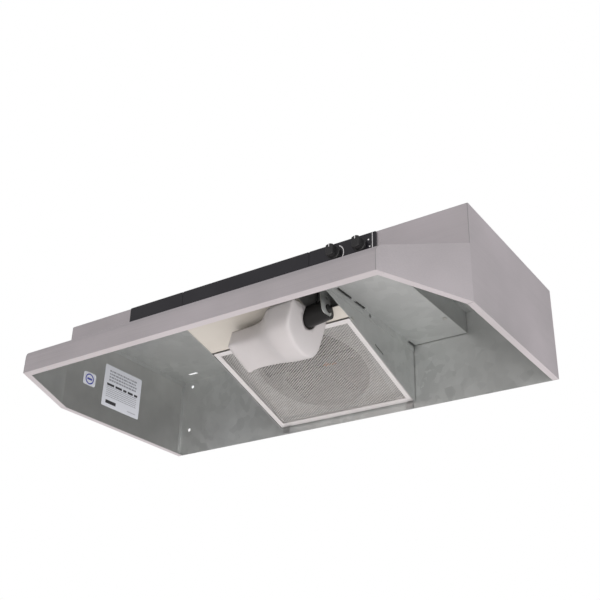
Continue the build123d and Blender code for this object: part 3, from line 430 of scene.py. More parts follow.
def galvanised(name):
    """Zinc-coated sheet with faint crystals."""
    material, tree, shader = new_material(name)
    crystals = place_group(tree, SPANGLE, Cells=70.0, Bend=0.012).outputs["Crystal"]
    haze = place_group(tree, HAZE, Size=(8, 8, 8), Amount=0.8)
    crystal_tone = span(tree, crystals, low=0.3, high=0.7)
    metal = blend_colours(tree, crystal_tone, ZINC_DARK, ZINC_LIGHT)
    colour = blend_colours(tree, haze.outputs["Mask"], metal, ZINC_CLOUD)
    rough = span(tree, crystals, ZINC_SMOOTH, ZINC_ROUGH)
    feed(tree, shader, {"Base Color": colour, "Roughness": rough, "Metallic": 0.85})
    bump(tree, shader, crystals, strength=0.03, distance=0.0002)
    return material


# %% [markdown]
# ### Aluminium, zinc-plated and oiled metals
# The small metal pieces differ mostly in tint and gloss, so one maker with a few numbers covers them,
# each with a little grain so that no highlight is perfectly clean.

# %% Small metals


def small_metal(name, light, dark, rough, stretch=(400, 400, 400)):
    """Metal with a fine mottle between two tones."""
    material, tree, shader = new_material(name)
    grain = place_group(tree, GRAIN, Stretch=stretch, Contrast=1.4)
    haze = place_group(tree, HAZE, Size=(40, 40, 40), Amount=0.6).outputs["Mask"]
    metal = blend_colours(tree, grain.outputs["Streak"], dark, light)
    colour = blend_colours(tree, haze, metal, dark)
    gloss = span(tree, haze, rough, rough + 0.12)
    feed(tree, shader, {"Base Color": colour, "Roughness": gloss, "Metallic": 0.95})
    bump(tree, shader, grain.outputs["Height"], strength=0.08, distance=0.0002)
    return material


# %% [markdown]
# ### Painted and moulded surfaces
# Paint and plastic are not metals: Metallic stays at 0, and the colour itself is nearly even. What
# makes them believable is the pebble in the highlight and a slight change of tone over the piece.

# %% Paint and plastic
PEBBLE_SIZE = (1500, 1500, 1500)


def moulded(name, colour, shade, rough, pebble=0.15, coat=0.0):
    """Plastic or paint with a fine pebble."""
    material, tree, shader = new_material(name)
    grain = place_group(tree, PEBBLE, Size=PEBBLE_SIZE)
    haze = place_group(tree, HAZE, Size=(14, 14, 14), Amount=0.7).outputs["Mask"]
    tone = blend_colours(tree, haze, colour, shade)
    gloss = span(tree, haze, rough, rough + 0.08)
    feed(tree, shader, {"Base Color": tone, "Roughness": gloss, "Coat Weight": coat})
    bump(tree, shader, grain.outputs["Height"], strength=pebble, distance=0.0002)
    return material


print("finishes defined")

# %% Give every carried-over node its finish
left_steel = steel_sheet("left_steel", (-1, 0, -0.2), (900, 5, 1100))
right_steel = steel_sheet("right_steel", (1, 0, -0.2), (900, 5, 1100))
# The fan's bracket, caps and nut get a darkened zinc: painted shade of the housing they sit in.
painted_shade_zinc = small_metal("painted_shade_zinc", (0.3, 0.305, 0.3), (0.17, 0.172, 0.168), 0.5, (60, 60, 60))
# The pad's upper layer gets a darker copy of the filter's aluminium: painted shade, as that layer lies deeper in
# the hood.
shaded_strand = small_metal("painted_shade_strand", (0.5, 0.49, 0.47), (0.3, 0.29, 0.28), 0.45)
white_ink = moulded("white_ink", (0.8, 0.8, 0.8), (0.7, 0.7, 0.7), 0.5, 0.05)
black_ink = moulded("black_ink", (0.03, 0.03, 0.035), (0.05, 0.05, 0.055), 0.5, 0.05)
grey_ink = moulded("grey_ink", (0.3, 0.31, 0.34), (0.36, 0.37, 0.4), 0.5, 0.05)
blue_ink = moulded("blue_ink", (0.05, 0.06, 0.35), (0.07, 0.08, 0.4), 0.5, 0.05)

# Each metal: its light tone, dark tone, roughness and, where it has a direction, its grain.
METALS = {
    "aluminium_rim": ((0.96, 0.94, 0.93), (0.8, 0.78, 0.775), 0.3, (30, 900, 900)),
    "aluminium_mesh": ((0.97, 0.95, 0.93), (0.86, 0.84, 0.82), 0.42),
    "zinc_fastener": ((0.66, 0.66, 0.63), (0.45, 0.45, 0.43), 0.3),
    "spring_steel": ((0.6, 0.6, 0.6), (0.4, 0.4, 0.4), 0.28),
    # The fan's aluminium gets a near-black tone: painted shade of the housing above the filter.
    "fan_aluminium": ((0.14, 0.142, 0.145), (0.08, 0.082, 0.085), 0.45, (200, 200, 200)),
    "motor_steel": ((0.3, 0.3, 0.31), (0.16, 0.16, 0.17), 0.4, (60, 60, 2400)),
    "copper_winding": ((0.68, 0.3, 0.12), (0.3, 0.1, 0.04), 0.3, (5, 1500, 1500)),
    "cast_zinc": ((0.52, 0.52, 0.53), (0.36, 0.36, 0.37), 0.48),
    "lamp_brass": ((0.78, 0.62, 0.32), (0.58, 0.44, 0.2), 0.28),
}

# Each paint or plastic: its colour, shade, roughness, pebble and, where it has one, its coat.
PLASTICS = {
    "cream_paint": ((0.74, 0.7, 0.63), (0.68, 0.64, 0.57), 0.38, 0.1),
    "lens_plastic": ((0.6, 0.575, 0.575), (0.55, 0.525, 0.52), 0.34, 0.05),
    "black_phenolic": ((0.01, 0.01, 0.01), (0.014, 0.0135, 0.013), 0.3, 0.12),
    "black_gloss": ((0.016, 0.0155, 0.019), (0.021, 0.021, 0.025), 0.3, 0.04, 0.1),
    "black_matte": ((0.016, 0.016, 0.017), (0.026, 0.026, 0.026), 0.42, 0.2),
    "switch_plastic": ((0.14, 0.14, 0.14), (0.1, 0.1, 0.1), 0.5, 0.2),
    "wire_nut_plastic": ((0.72, 0.2, 0.03), (0.6, 0.15, 0.02), 0.4, 0.2),
    "green_screw": ((0.03, 0.28, 0.08), (0.02, 0.2, 0.05), 0.35, 0.1),
    "bulb_glass": ((0.86, 0.85, 0.82), (0.8, 0.79, 0.76), 0.3, 0.03),
    "wire_jacket": ((0.02, 0.02, 0.02), (0.035, 0.035, 0.035), 0.45, 0.1),
    "label_paper": ((0.72, 0.74, 0.79), (0.66, 0.68, 0.73), 0.4, 0.05),
}
PHENOLIC_SPECULAR = 0.22

finishes = {
    "stainless": steel_sheet("visor_steel", (0, -1, -0.12), (5, 900, 1100)),
    "galvanised": galvanised("zinc_sheet"),
}
for slot, values in METALS.items():
    finishes[slot] = small_metal(slot, *values)
for slot, values in PLASTICS.items():
    finishes[slot] = moulded(slot, *values)
phenolic = finishes["black_phenolic"].node_tree.nodes["Principled BSDF"]
phenolic.inputs["Specular IOR Level"].default_value = PHENOLIC_SPECULAR


def dress(node, material):
    """Puts one material in every slot of a node's object."""
    for slot in nodes[node].material_slots:
        slot.material = material


for subpart in frame["record"]["subparts"]:
    dress(subpart["node"], finishes[subpart["material_slot"]])
dress("left_side_panel", left_steel)
dress("right_side_panel", right_steel)
# The fan's metal parts take the darkened zinc: painted shade.
for node in ("motor_bracket", "motor_caps", "blade_nut"):
    dress(node, painted_shade_zinc)

# %% [markdown]
# ## Pieces made here
# A few nodes are only the right size in the engineering model. Each is replaced by a detailed piece that
# rides on the same body. The helpers make a plain mesh object, and turn an object with modifiers into a
# plain one, because a modifier's result is what has to ride.

# %% Helpers for pieces


def mesh_piece(name, vertices, faces, material):
    """A mesh object from points and faces, normals pointing outwards."""
    mesh = bpy.data.meshes.new(name)
    mesh.from_pydata([tuple(v) for v in vertices], [], faces)
    work = bmesh.new()
    work.from_mesh(mesh)
    bmesh.ops.recalc_face_normals(work, faces=work.faces)
    work.to_mesh(mesh)
    work.free()
    piece = bpy.data.objects.new(name, mesh)
    bpy.context.scene.collection.objects.link(piece)
    mesh.materials.append(material)
    return piece


def settle(piece, smooth=False):
    """Replaces a piece by the plain mesh that its modifiers make."""
    graph = bpy.context.evaluated_depsgraph_get()
    mesh = bpy.data.meshes.new_from_object(piece.evaluated_get(graph))
    name = piece.name
    bpy.data.objects.remove(piece)
    plain = bpy.data.objects.new(name, mesh)
    bpy.context.scene.collection.objects.link(plain)
    mesh.name = name
    if smooth:
        mesh.shade_smooth()
    return plain


def seat(piece, body, slot, *replaced):
    """Puts a piece on its body and hides the nodes it stands for; the slot argument is not used."""
    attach(piece, body)
    if replaced:
        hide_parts(*replaced)
    print(piece.name, "faces", len(piece.data.polygons))


def middle_of(node):
    """Centre of a node's box."""
    low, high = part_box(node)
    return (low + high) / 2


def joint_named(name):
    """A joint's record."""
    return next(j for j in frame["joints"] if j["name"] == name)


# %% [markdown]
# ### The grease filter's mesh
# The pad is several layers of expanded aluminium: a foil is slit and pulled until the slits open into
# diamonds. A Grid whose points are moved onto a skewed lattice has exactly those diamonds as its edges,
# and Curve to Mesh gives every edge a flat strand. Two layers with different cells make the shimmer that
# such a pad shows, and dark gaps wherever the fan's throat lies behind it.

# %% Helpers for Geometry Nodes
FAN_AXIS = Vector(joint_named("fan_spin")["axis"])
SLANT = math.atan2(FAN_AXIS.y, FAN_AXIS.z)


def node_tree(name, inputs):
    """An empty Geometry Nodes tree with a geometry in and out and named inputs."""
    tree = bpy.data.node_groups.new(name, "GeometryNodeTree")
    for side in ("INPUT", "OUTPUT"):
        tree.interface.new_socket("Geometry", in_out=side, socket_type="NodeSocketGeometry")
    open_inputs(tree, inputs)
    return tree, tree.nodes.new("NodeGroupInput"), tree.nodes.new("NodeGroupOutput")


def end_tree(tree, source, result, geometry):
    """Realize Instances, then Set Material, then out."""
    real = add(tree, "GeometryNodeRealizeInstances", {0: geometry})
    dressed = {"Geometry": real.outputs[0], "Material": source.outputs["Material"]}
    join(tree, add(tree, "GeometryNodeSetMaterial", dressed).outputs[0], result.inputs[0])


def apply_tree(piece, tree, **values):
    """Runs the tree on a piece and settles it; an underscore in a value's name is a space."""
    modifier = piece.modifiers.new(tree.name, "NODES")
    modifier.node_group = tree
    sockets = {s.name: s.identifier for s in tree.interface.items_tree if s.in_out == "INPUT"}
    for label, value in values.items():
        modifier[sockets[label.replace("_", " ")]] = value
    return settle(piece)


def xyz(tree, x=0.0, y=0.0, z=0.0):
    """A vector from three sockets or numbers."""
    return add(tree, "ShaderNodeCombineXYZ", {0: x, 1: y, 2: z}).outputs[0]


def point_place(tree):
    """Each point's position."""
    return add(tree, "GeometryNodeInputPosition").outputs[0]


def point_parts(tree):
    """Each point's X, Y and Z."""
    return add(tree, "ShaderNodeSeparateXYZ", {0: point_place(tree)}).outputs


def shifted(tree, geometry, offset):
    """Geometry moved by a vector."""
    move = {"Geometry": geometry, "Translation": offset}
    return add(tree, "GeometryNodeTransform", move).outputs[0]


# %% Expanded mesh as Geometry Nodes
RIPPLE_SCALE = 0.37
MARK = "outside"


def lattice(tree, source):
    """A Grid, and the X and Y that skew its squares into diamonds."""
    cell_width = source.outputs["Cell Width"]
    cell_length = source.outputs["Cell Length"]
    across = math_node(tree, "DIVIDE", source.outputs["Width"], cell_width)
    along = math_node(tree, "DIVIDE", source.outputs["Length"], cell_length)
    steps = math_node(tree, "CEIL", math_node(tree, "ADD", across, along))
    count = math_node(tree, "ADD", steps, 1.0)
    sizes = {"Size X": steps, "Size Y": steps, "Vertices X": count, "Vertices Y": count}
    grid = add(tree, "GeometryNodeMeshGrid", sizes)
    u, v, _ = point_parts(tree)
    half_width = math_node(tree, "MULTIPLY", cell_width, 0.5)
    half_length = math_node(tree, "MULTIPLY", cell_length, 0.5)
    x = math_node(tree, "MULTIPLY", math_node(tree, "ADD", u, v), half_width)
    y = math_node(tree, "MULTIPLY", math_node(tree, "SUBTRACT", u, v), half_length)
    return grid.outputs["Mesh"], x, y


def ripple(tree, source):
    """Slow waves in the foil, as a height."""
    looks = {"Vector": point_place(tree), "Scale": RIPPLE_SCALE, "W": source.outputs["Seed"]}
    noise = add(tree, "ShaderNodeTexNoise", looks, noise_dimensions="4D")
    wave = math_node(tree, "SUBTRACT", noise.outputs[0], 0.5)
    reach = math_node(tree, "MULTIPLY", source.outputs["Ripple"], 2.0)
    return math_node(tree, "MULTIPLY", wave, reach)


def marked_outside(tree, source, grid, x, y):
    """The grid with a mark on each point that will land outside the rectangle."""
    over = []
    for distance, size in ((x, "Width"), (y, "Length")):
        limit = math_node(tree, "MULTIPLY", source.outputs[size], 0.5)
        reach = math_node(tree, "ABSOLUTE", distance)
        over.append(math_node(tree, "GREATER_THAN", reach, limit))
    marks = {"Geometry": grid, "Name": MARK, "Value": math_node(tree, "MAXIMUM", *over)}
    node = add(tree, "GeometryNodeStoreNamedAttribute", marks, data_type="FLOAT", domain="POINT")
    return node.outputs[0]


def without_marked(tree, geometry):
    """Deletes the marked points."""
    mark = add(tree, "GeometryNodeInputNamedAttribute", {"Name": MARK}, data_type="FLOAT")
    terms = {0: mark.outputs["Attribute"], 1: 0.5}
    gone = add(tree, "FunctionNodeCompare", terms, data_type="FLOAT", operation="GREATER_THAN")
    cut = {"Geometry": geometry, "Selection": gone.outputs[0]}
    return add(tree, "GeometryNodeDeleteGeometry", cut, domain="POINT").outputs[0]


def strands(tree, source, mesh):
    """A flat strand along every edge, tilted out of the sheet's plane."""
    curves = add(tree, "GeometryNodeMeshToCurve", {"Mesh": mesh})
    tilt = {"Curve": curves.outputs[0], "Tilt": source.outputs["Tilt"]}
    tilted = add(tree, "GeometryNodeSetCurveTilt", tilt)
    upright = add(tree, "GeometryNodeSetCurveNormal", {"Curve": tilted.outputs[0]}, mode="Z_UP")
    sizes = {"Width": source.outputs["Strand Width"], "Height": source.outputs["Strand Thick"]}
    section = add(tree, "GeometryNodeCurvePrimitiveQuadrilateral", sizes)
    sweep = {"Curve": upright.outputs[0], "Profile Curve": section.outputs[0]}
    return add(tree, "GeometryNodeCurveToMesh", sweep).outputs[0]


def make_expanded_tree():
    """Diamond lattice of flat strands, cut to a rectangle."""
    inputs = {
        "Width": 0.257,
        "Length": 0.204,
        "Cell Width": 0.005,
        "Cell Length": 0.0031,
        "Strand Width": 0.001,
        "Strand Thick": 0.0003,
        "Ripple": 0.0006,
        "Tilt": 0.5,
        "Seed": 1.0,
        "Material": None,
    }
    tree, source, result = node_tree("expanded_mesh", inputs)
    grid, x, y = lattice(tree, source)
    marked = marked_outside(tree, source, grid, x, y)
    place = {"Geometry": marked, "Position": xyz(tree, x, y, ripple(tree, source))}
    skewed = add(tree, "GeometryNodeSetPosition", place)
    cut = without_marked(tree, skewed.outputs[0])
    end_tree(tree, source, result, strands(tree, source, cut))
    return tree


EXPANDED = make_expanded_tree()
print("tree", EXPANDED.name, "slant", round(math.degrees(SLANT), 2))

# %% The pad's two layers
MESH_MARGIN = 0.0012
TURN_SHRINK = 0.9

# Each layer: its name, height, turn, cell, strand width, tilt, seed and metal.
LAYERS = [
    ("filter_mesh_lower", -0.0008, 0.0, (0.0066, 0.0043), 0.00092, 0.5, 1.0, finishes["aluminium_mesh"]),
    # The upper layer's metal is the darker copy: painted shade.
    ("filter_mesh_upper", 0.0009, 5.0, (0.0076, 0.005), 0.0007, -0.5, 2.0, shaded_strand),
]


def filter_layer(name, height, turn, cell, strand, tilt, seed, metal):
    """One layer of expanded foil in the filter's slanted plane."""
    low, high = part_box("filter_mesh")
    turn = math.radians(turn)
    shrink = 1.0 - abs(turn) * TURN_SHRINK
    layer = apply_tree(
        mesh_piece(name, [(0, 0, 0)], [], metal),
        EXPANDED,
        Width=(high.x - low.x - 2 * MESH_MARGIN) * shrink,
        Length=((high.y - low.y) / math.cos(SLANT) - 2 * MESH_MARGIN) * shrink,
        Cell_Width=cell[0],
        Cell_Length=cell[1],
        Strand_Width=strand,
        Tilt=tilt,
        Seed=seed,
        Material=metal,
    )
    place = Matrix.Translation(middle_of("filter_mesh")) @ Matrix.Rotation(-SLANT, 4, "X")
    spin = Matrix.Rotation(turn, 4, "Z")
    layer.data.transform(place @ Matrix.Translation((0, 0, height)) @ spin)
    return layer


for values in LAYERS:
    seat(filter_layer(*values), "filter", "aluminium_mesh", "filter_mesh")

# %% [markdown]
# ### The lamp's lens
# The real lens is one sheet of milky plastic, heated and drawn over a mould, so it has no sharp edge
# anywhere. It is lofted here from a few cross-sections, each drawn from the lens's rear top edge, and
# Subdivision Surface rounds every fold, as the drawing of the sheet does. Solidify gives the sheet its
# thickness, and a boolean with a plain U-shaped block cuts the notch in which the lamp socket lies.

# %% Lens sections
LENS_WALL = 0.0016
LENS_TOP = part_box("light_pan")[0].z
LENS_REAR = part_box("light_lens")[1].y
LENS_UNDER_PAN = 0.0004
TAPER = 20 / 63.5

# Each section: its X, how much it leans with the taper, and its outline as Y and Z from the rear top
# edge, all in millimetres.
SECTIONS = [
    (-55, 0.0, [(0, 0), (0, -52), (-17, -45), (-36, -37), (-55, -28), (-47, 0)]),
    (-50, 0.0, [(0, 0), (0, -55), (-18, -47.5), (-38, -39.5), (-59, -29), (-49, 0)]),
    (8, 0.0, [(0, 0), (0, -56), (-20, -51), (-40, -43), (-62, -30), (-51, 0)]),
    (40, 0.0, [(0, 0), (0, -57), (-22, -63), (-54, -58), (-88, -39.6), (-86, 0)]),
    (54, 0.1, [(0, 0), (0, -57), (-22, -64), (-56, -60), (-92, -41), (-90, 0)]),
    (94, 1.0, [(0, 0), (0, -57.5), (-25, -65.5), (-59, -61), (-96, -39), (-94, 0)]),
    (98, 1.0, [(0, 0), (0, -56), (-25, -64), (-58, -59), (-93, -38), (-92, 0)]),
]


def lens_shell():
    """An open tray through the sections, with both ends closed."""
    vertices = []
    for x, lean, outline in SECTIONS:
        for dy, dz in outline:
            across = (x + lean * TAPER * dz) * MM
            height = LENS_TOP + dz * MM - LENS_UNDER_PAN
            vertices.append((across, LENS_REAR + dy * MM, height))
    ring = len(SECTIONS[0][2])
    last = (len(SECTIONS) - 1) * ring
    faces = []
    for start in range(0, last, ring):
        for a in range(start, start + ring - 1):
            faces.append((a, a + 1, a + 1 + ring, a + ring))
    for start in (0, last):
        a, b, c, d, e, f = range(start, start + ring)
        faces += [(a, b, c, f), (c, d, e, f)]
    return mesh_piece("drawn_lens", vertices, faces, finishes["lens_plastic"])


# %% The notch for the socket
SOCKET_MOUTH_Z = -0.0814
NOTCH_GAP = 0.002
NOTCH_LEFT = 0.062
NOTCH_RIGHT = 0.14
NOTCH_RISE = 0.09
NOTCH_STEPS = 24


def notch_block():
    """A U-shaped block round the socket's axis, open upwards."""
    low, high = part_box("lamp_socket")
    radius = (high.y - low.y) / 2 + NOTCH_GAP
    y = (low.y + high.y) / 2
    z = SOCKET_MOUTH_Z
    angles = [math.pi + math.pi * k / NOTCH_STEPS for k in range(NOTCH_STEPS + 1)]
    outline = [(y + radius, z + NOTCH_RISE), (y - radius, z + NOTCH_RISE)]
    outline += [(y + radius * math.cos(a), z + radius * math.sin(a)) for a in angles]
    start = [(NOTCH_LEFT, u, v) for u, v in outline]
    end = [(NOTCH_RIGHT, u, v) for u, v in outline]
    count = len(outline)
    faces = [tuple(range(count)), tuple(range(2 * count - 1, count - 1, -1))]
    faces += [(k, (k + 1) % count, (k + 1) % count + count, k + count) for k in range(count)]
    return mesh_piece("notch_block", start + end, faces, finishes["lens_plastic"])


# %% Soft lens with its notch
LEFT_END_X = -0.045
CREASE_TOP = 1.0
CREASE_LEFT_END = 0.6
CREASE_REST = 0.22
ROUNDING_LEVELS = 3


def crease_edges(mesh):
    """Keeps the top edge sharp and the left end firm; the rest stays soft."""
    layer = mesh.attributes.new("crease_edge", "FLOAT", "EDGE")
    for edge in mesh.edges:
        ends = [mesh.vertices[v].co for v in edge.vertices]
        crease = CREASE_REST
        if all(p.x < LEFT_END_X for p in ends):
            crease = CREASE_LEFT_END
        if all(abs(p.z - LENS_TOP) < MM for p in ends):
            crease = CREASE_TOP
        layer.data[edge.index].value = crease


lens = lens_shell()
crease_edges(lens.data)
rounding = lens.modifiers.new("rounding", "SUBSURF")
rounding.levels = ROUNDING_LEVELS
rounding.render_levels = ROUNDING_LEVELS
wall = lens.modifiers.new("wall", "SOLIDIFY")
wall.thickness = LENS_WALL
wall.offset = -1.0
lens = settle(lens)
block = notch_block()
cut = lens.modifiers.new("notch", "BOOLEAN")
cut.object = block
cut.solver = "EXACT"
lens = settle(lens, smooth=True)
bpy.data.objects.remove(block)
seat(lens, "lens", "lens_plastic", "light_lens")

# %% [markdown]
# ### Printing on the control strip
# Real printing is a film of paint a few hundredths of a millimetre thick. Here it is thin raised shapes
# just ahead of the plate: strokes that follow a path with a constant width, made by one helper. They say
# nothing: short bars stand where words would be, an arc shows the fan's range and dots the light's stops.

# %% Strokes of ink
INK_PROUD = 0.00018
PLATE_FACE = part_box("control_plate")[0].y


def stroke(points, width):
    """The outline of a flat band along a path in the XZ plane."""
    left = []
    right = []
    last = len(points) - 1
    for index, point in enumerate(points):
        before = points[max(index - 1, 0)]
        after = points[min(index + 1, last)]
        direction = (after - before).normalized()
        side = Vector((-direction.y, direction.x)) * width / 2
        left.append(point + side)
        right.append(point - side)
    return left + right[::-1]


def printed(name, outlines, place, material):
    """Thin raised shapes; place turns a flat outline's (u, v) and height into a point."""
    vertices = []
    faces = []
    for outline in outlines:
        start = len(vertices)
        count = len(outline)
        for height in (0.0, INK_PROUD):
            vertices += [place(p.x, p.y, height) for p in outline]
        for layer in (start, start + count):
            for k in range(count // 2 - 1):
                a = layer + k
                b = layer + count - 1 - k
                faces.append((a, a + 1, b - 1, b))
        for k in range(start, start + count):
            after = start + (k - start + 1) % count
            faces.append((k, after, after + count, k + count))
    return mesh_piece(name, vertices, faces, material)


def bar(u, v, width, height):
    """A straight bar centred on a point."""
    return stroke([Vector((u - width / 2, v)), Vector((u + width / 2, v))], height)


def on_circle(u, v, radius, angles):
    """Points of a circle at the given angles."""
    return [Vector((u + radius * math.cos(a), v + radius * math.sin(a))) for a in angles]


def arc(u, v, radius, start, end, width, steps=24):
    """A band along part of a circle; angles in degrees."""
    angles = [math.radians(start + (end - start) * k / steps) for k in range(steps + 1)]
    return stroke(on_circle(u, v, radius, angles), width)


def dot(u, v, radius, sides=16):
    """A small disc as an outline."""
    return on_circle(u, v, radius, [math.pi * 2 * (k + 0.5) / sides for k in range(sides)])


def on_strip(u, v, height):
    """A point of the printing on the strip's face."""
    return (u, PLATE_FACE - height, v)


# %% Marks beside the knobs
FAN_KNOB = Vector(joint_named("fan_knob_turn")["pos_m"])
LIGHT_KNOB = Vector(joint_named("light_knob_turn")["pos_m"])
KNOB_Z = FAN_KNOB.z
BLOCK_WIDE = 0.0016
BLOCK_HIGH = 0.0024
BLOCK_PITCH = BLOCK_WIDE * 1.35
DIVIDER_X = 0.233


def word_bars(u, v, count):
    """A run of short blocks that stands where a word would be."""
    return [bar(u + k * BLOCK_PITCH, v, BLOCK_WIDE, BLOCK_HIGH) for k in range(count)]


strip_ink = [
    arc(FAN_KNOB.x, KNOB_Z, radius=0.0142, start=62, end=-58, width=0.0011),
    bar(DIVIDER_X, KNOB_Z, width=0.0009, height=0.0355),
    dot(LIGHT_KNOB.x + 0.0122, KNOB_Z + 0.0075, radius=0.0013),
    dot(LIGHT_KNOB.x + 0.0142, KNOB_Z - 0.0042, radius=0.0011),
]
strip_ink += word_bars(FAN_KNOB.x - 0.022, KNOB_Z - 0.0155, count=3)
strip_ink += word_bars(LIGHT_KNOB.x - 0.0225, KNOB_Z - 0.0115, count=5)
seat(printed("control_printing", strip_ink, on_strip, white_ink), "hood", "label_paper")

strip_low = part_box("strip_left")[0]
name_bar = bar(strip_low.x + 0.033, strip_low.z + 0.0085, width=0.022, height=0.0036)
seat(printed("strip_bar", [name_bar], on_strip, white_ink), "hood", "label_paper")

# %% Pointers on the knobs
POINTER_WIDE = 0.0012
POINTER_LONG = 0.0052
POINTER_FROM_RIM = 0.0012


def pointer(name, knob, node, body):
    """A white line on a knob's face that turns with it."""
    low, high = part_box(node)
    top = high.z - POINTER_FROM_RIM

    def on_knob(u, v, height):
        return (u, low.y - height, v)

    line = stroke([Vector((knob.x, top)), Vector((knob.x, top - POINTER_LONG))], POINTER_WIDE)
    seat(printed(name, [line], on_knob, white_ink), body, "label_paper")


pointer("fan_pointer", FAN_KNOB, "fan_knob", "fan_control")
pointer("light_pointer", LIGHT_KNOB, "light_knob", "light_control")

# %% [markdown]
# ### Stickers on the left wall
# The large sticker carries rows of print and dark blocks, and the small one a plain ring and bar. Rows
# of bars of uneven length read as print from a step away. A seeded random generator sets the lengths,
# so the sticker is the same every time.

# %% Sticker printing
dice = random.Random(7)
label_low, label_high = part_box("rating_label")
LABEL_FACE = label_high.x
LABEL_LEFT = label_low.y + 0.008
LABEL_RIGHT = label_high.y - 0.008
LETTER_SPACE = 0.45
WORD_SPREAD = (0.6, 2.6)
HEAVY_INSET = 0.004
HEAVY_TOP = label_high.z - 0.01
HEAVY_PITCH = 0.0058
HEAVY_HIGH = 0.0032
FINE_LOW = label_low.z + 0.02
FINE_PITCH = 0.0036
FINE_HIGH = 0.0012
FINE_LETTER = 0.002
LAST_ROW = label_low.z + 0.007
LAST_ROW_WIDE = 0.022


def on_label(u, v, height):
    """A point of the printing on the left wall's stickers; u runs towards the wall."""
    return (LABEL_FACE + height, u, v)


def print_row(u0, u1, v, height, letter=0.003):
    """Blocks of uneven length between two ends."""
    blocks = []
    u = u0
    while u < u1 - letter:
        length = min(dice.uniform(*WORD_SPREAD) * letter, u1 - u)
        blocks.append(bar(u + length / 2, v, length, height))
        u += length + letter * LETTER_SPACE
    return blocks


heavy = []
for index in range(4):
    row_v = HEAVY_TOP - HEAVY_PITCH * index
    heavy += print_row(LABEL_LEFT + HEAVY_INSET, LABEL_RIGHT - HEAVY_INSET, row_v, HEAVY_HIGH)
rows = []
for index in range(6):
    row_v = FINE_LOW + FINE_PITCH * index
    rows += print_row(LABEL_LEFT, LABEL_RIGHT, row_v, FINE_HIGH, FINE_LETTER)
rows += print_row(LABEL_RIGHT - LAST_ROW_WIDE, LABEL_RIGHT, LAST_ROW, FINE_HIGH, FINE_LETTER)
dark = print_row(LABEL_LEFT, LABEL_RIGHT, label_high.z - 0.0365, height=0.0042, letter=0.008)
dark.append(bar(LABEL_LEFT + 0.014, label_low.z + 0.0095, width=0.026, height=0.0062))
for name, shapes, ink in (
    ("label_rows", rows, grey_ink),
    ("label_heavy_rows", heavy, grey_ink),
    ("label_blocks", dark, black_ink),
):
    seat(printed(name, shapes, on_label, ink), "hood", "label_paper")

badge = middle_of("round_cornered_sticker")
badge_shapes = [
    arc(badge.y, badge.z, radius=0.0088, start=0, end=360, width=0.0022, steps=40),
    bar(badge.y, badge.z, width=0.011, height=0.0036),
]
seat(printed("badge_shapes", badge_shapes, on_label, blue_ink), "hood", "label_paper")

# %% [markdown]
# ### Screw heads
# Every screw in the hood is the same thing at another size: a shank, a domed head and a cross. One
# Geometry Nodes tree makes the head from a cylinder, lifts its top into a dome, cuts the cross with a
# Mesh Boolean, and puts a copy on each point of the carrier mesh, turned to that point's axis.

# %% Cross-head screw as Geometry Nodes
HEAD_SIDES = 32
HEAD_RINGS = 4
SHANK_SIDES = 20
DOME_POWER = 2.2
DOME_DROP = 0.6
CROSS_REACH = 1.25
CROSS_LIFT = 0.55


def domed_head(tree, source):
    """A cylinder whose top falls away towards its rim."""
    radius = source.outputs["Head Radius"]
    height = source.outputs["Head Height"]
    sizes = {"Vertices": HEAD_SIDES, "Fill Segments": HEAD_RINGS, "Radius": radius, "Depth": height}
    head = add(tree, "GeometryNodeMeshCylinder", sizes)
    x, y, z = point_parts(tree)
    reach = vector_math(tree, "LENGTH", {0: xyz(tree, x, y)})["Value"]
    curve = math_node(tree, "POWER", math_node(tree, "DIVIDE", reach, radius), DOME_POWER)
    fall = math_node(tree, "MULTIPLY", curve, height)
    is_top = math_node(tree, "GREATER_THAN", z, 0.0)
    drop = math_node(tree, "MULTIPLY", math_node(tree, "MULTIPLY", fall, is_top), -DOME_DROP)
    dome = {"Geometry": head.outputs["Mesh"], "Offset": xyz(tree, z=drop)}
    return add(tree, "GeometryNodeSetPosition", dome).outputs[0]


def cross_cutters(tree, source):
    """Two thin boxes at right angles, sunk into the top of the head."""
    height = source.outputs["Head Height"]
    slot = source.outputs["Slot"]
    reach = math_node(tree, "MULTIPLY", source.outputs["Head Radius"], CROSS_REACH)
    lift = xyz(tree, z=math_node(tree, "MULTIPLY", height, CROSS_LIFT))
    cutters = []
    for across, along in ((reach, slot), (slot, reach)):
        cube = add(tree, "GeometryNodeMeshCube", {"Size": xyz(tree, across, along, height)})
        cutters.append(shifted(tree, cube.outputs["Mesh"], lift))
    return cutters


def sunk_shank(tree, source):
    """A plain shank below the head."""
    length = source.outputs["Shank Length"]
    sizes = {"Vertices": SHANK_SIDES, "Radius": source.outputs["Shank Radius"], "Depth": length}
    shank = add(tree, "GeometryNodeMeshCylinder", sizes)
    sink = math_node(tree, "MULTIPLY", length, -0.5)
    return shifted(tree, shank.outputs["Mesh"], xyz(tree, z=sink))


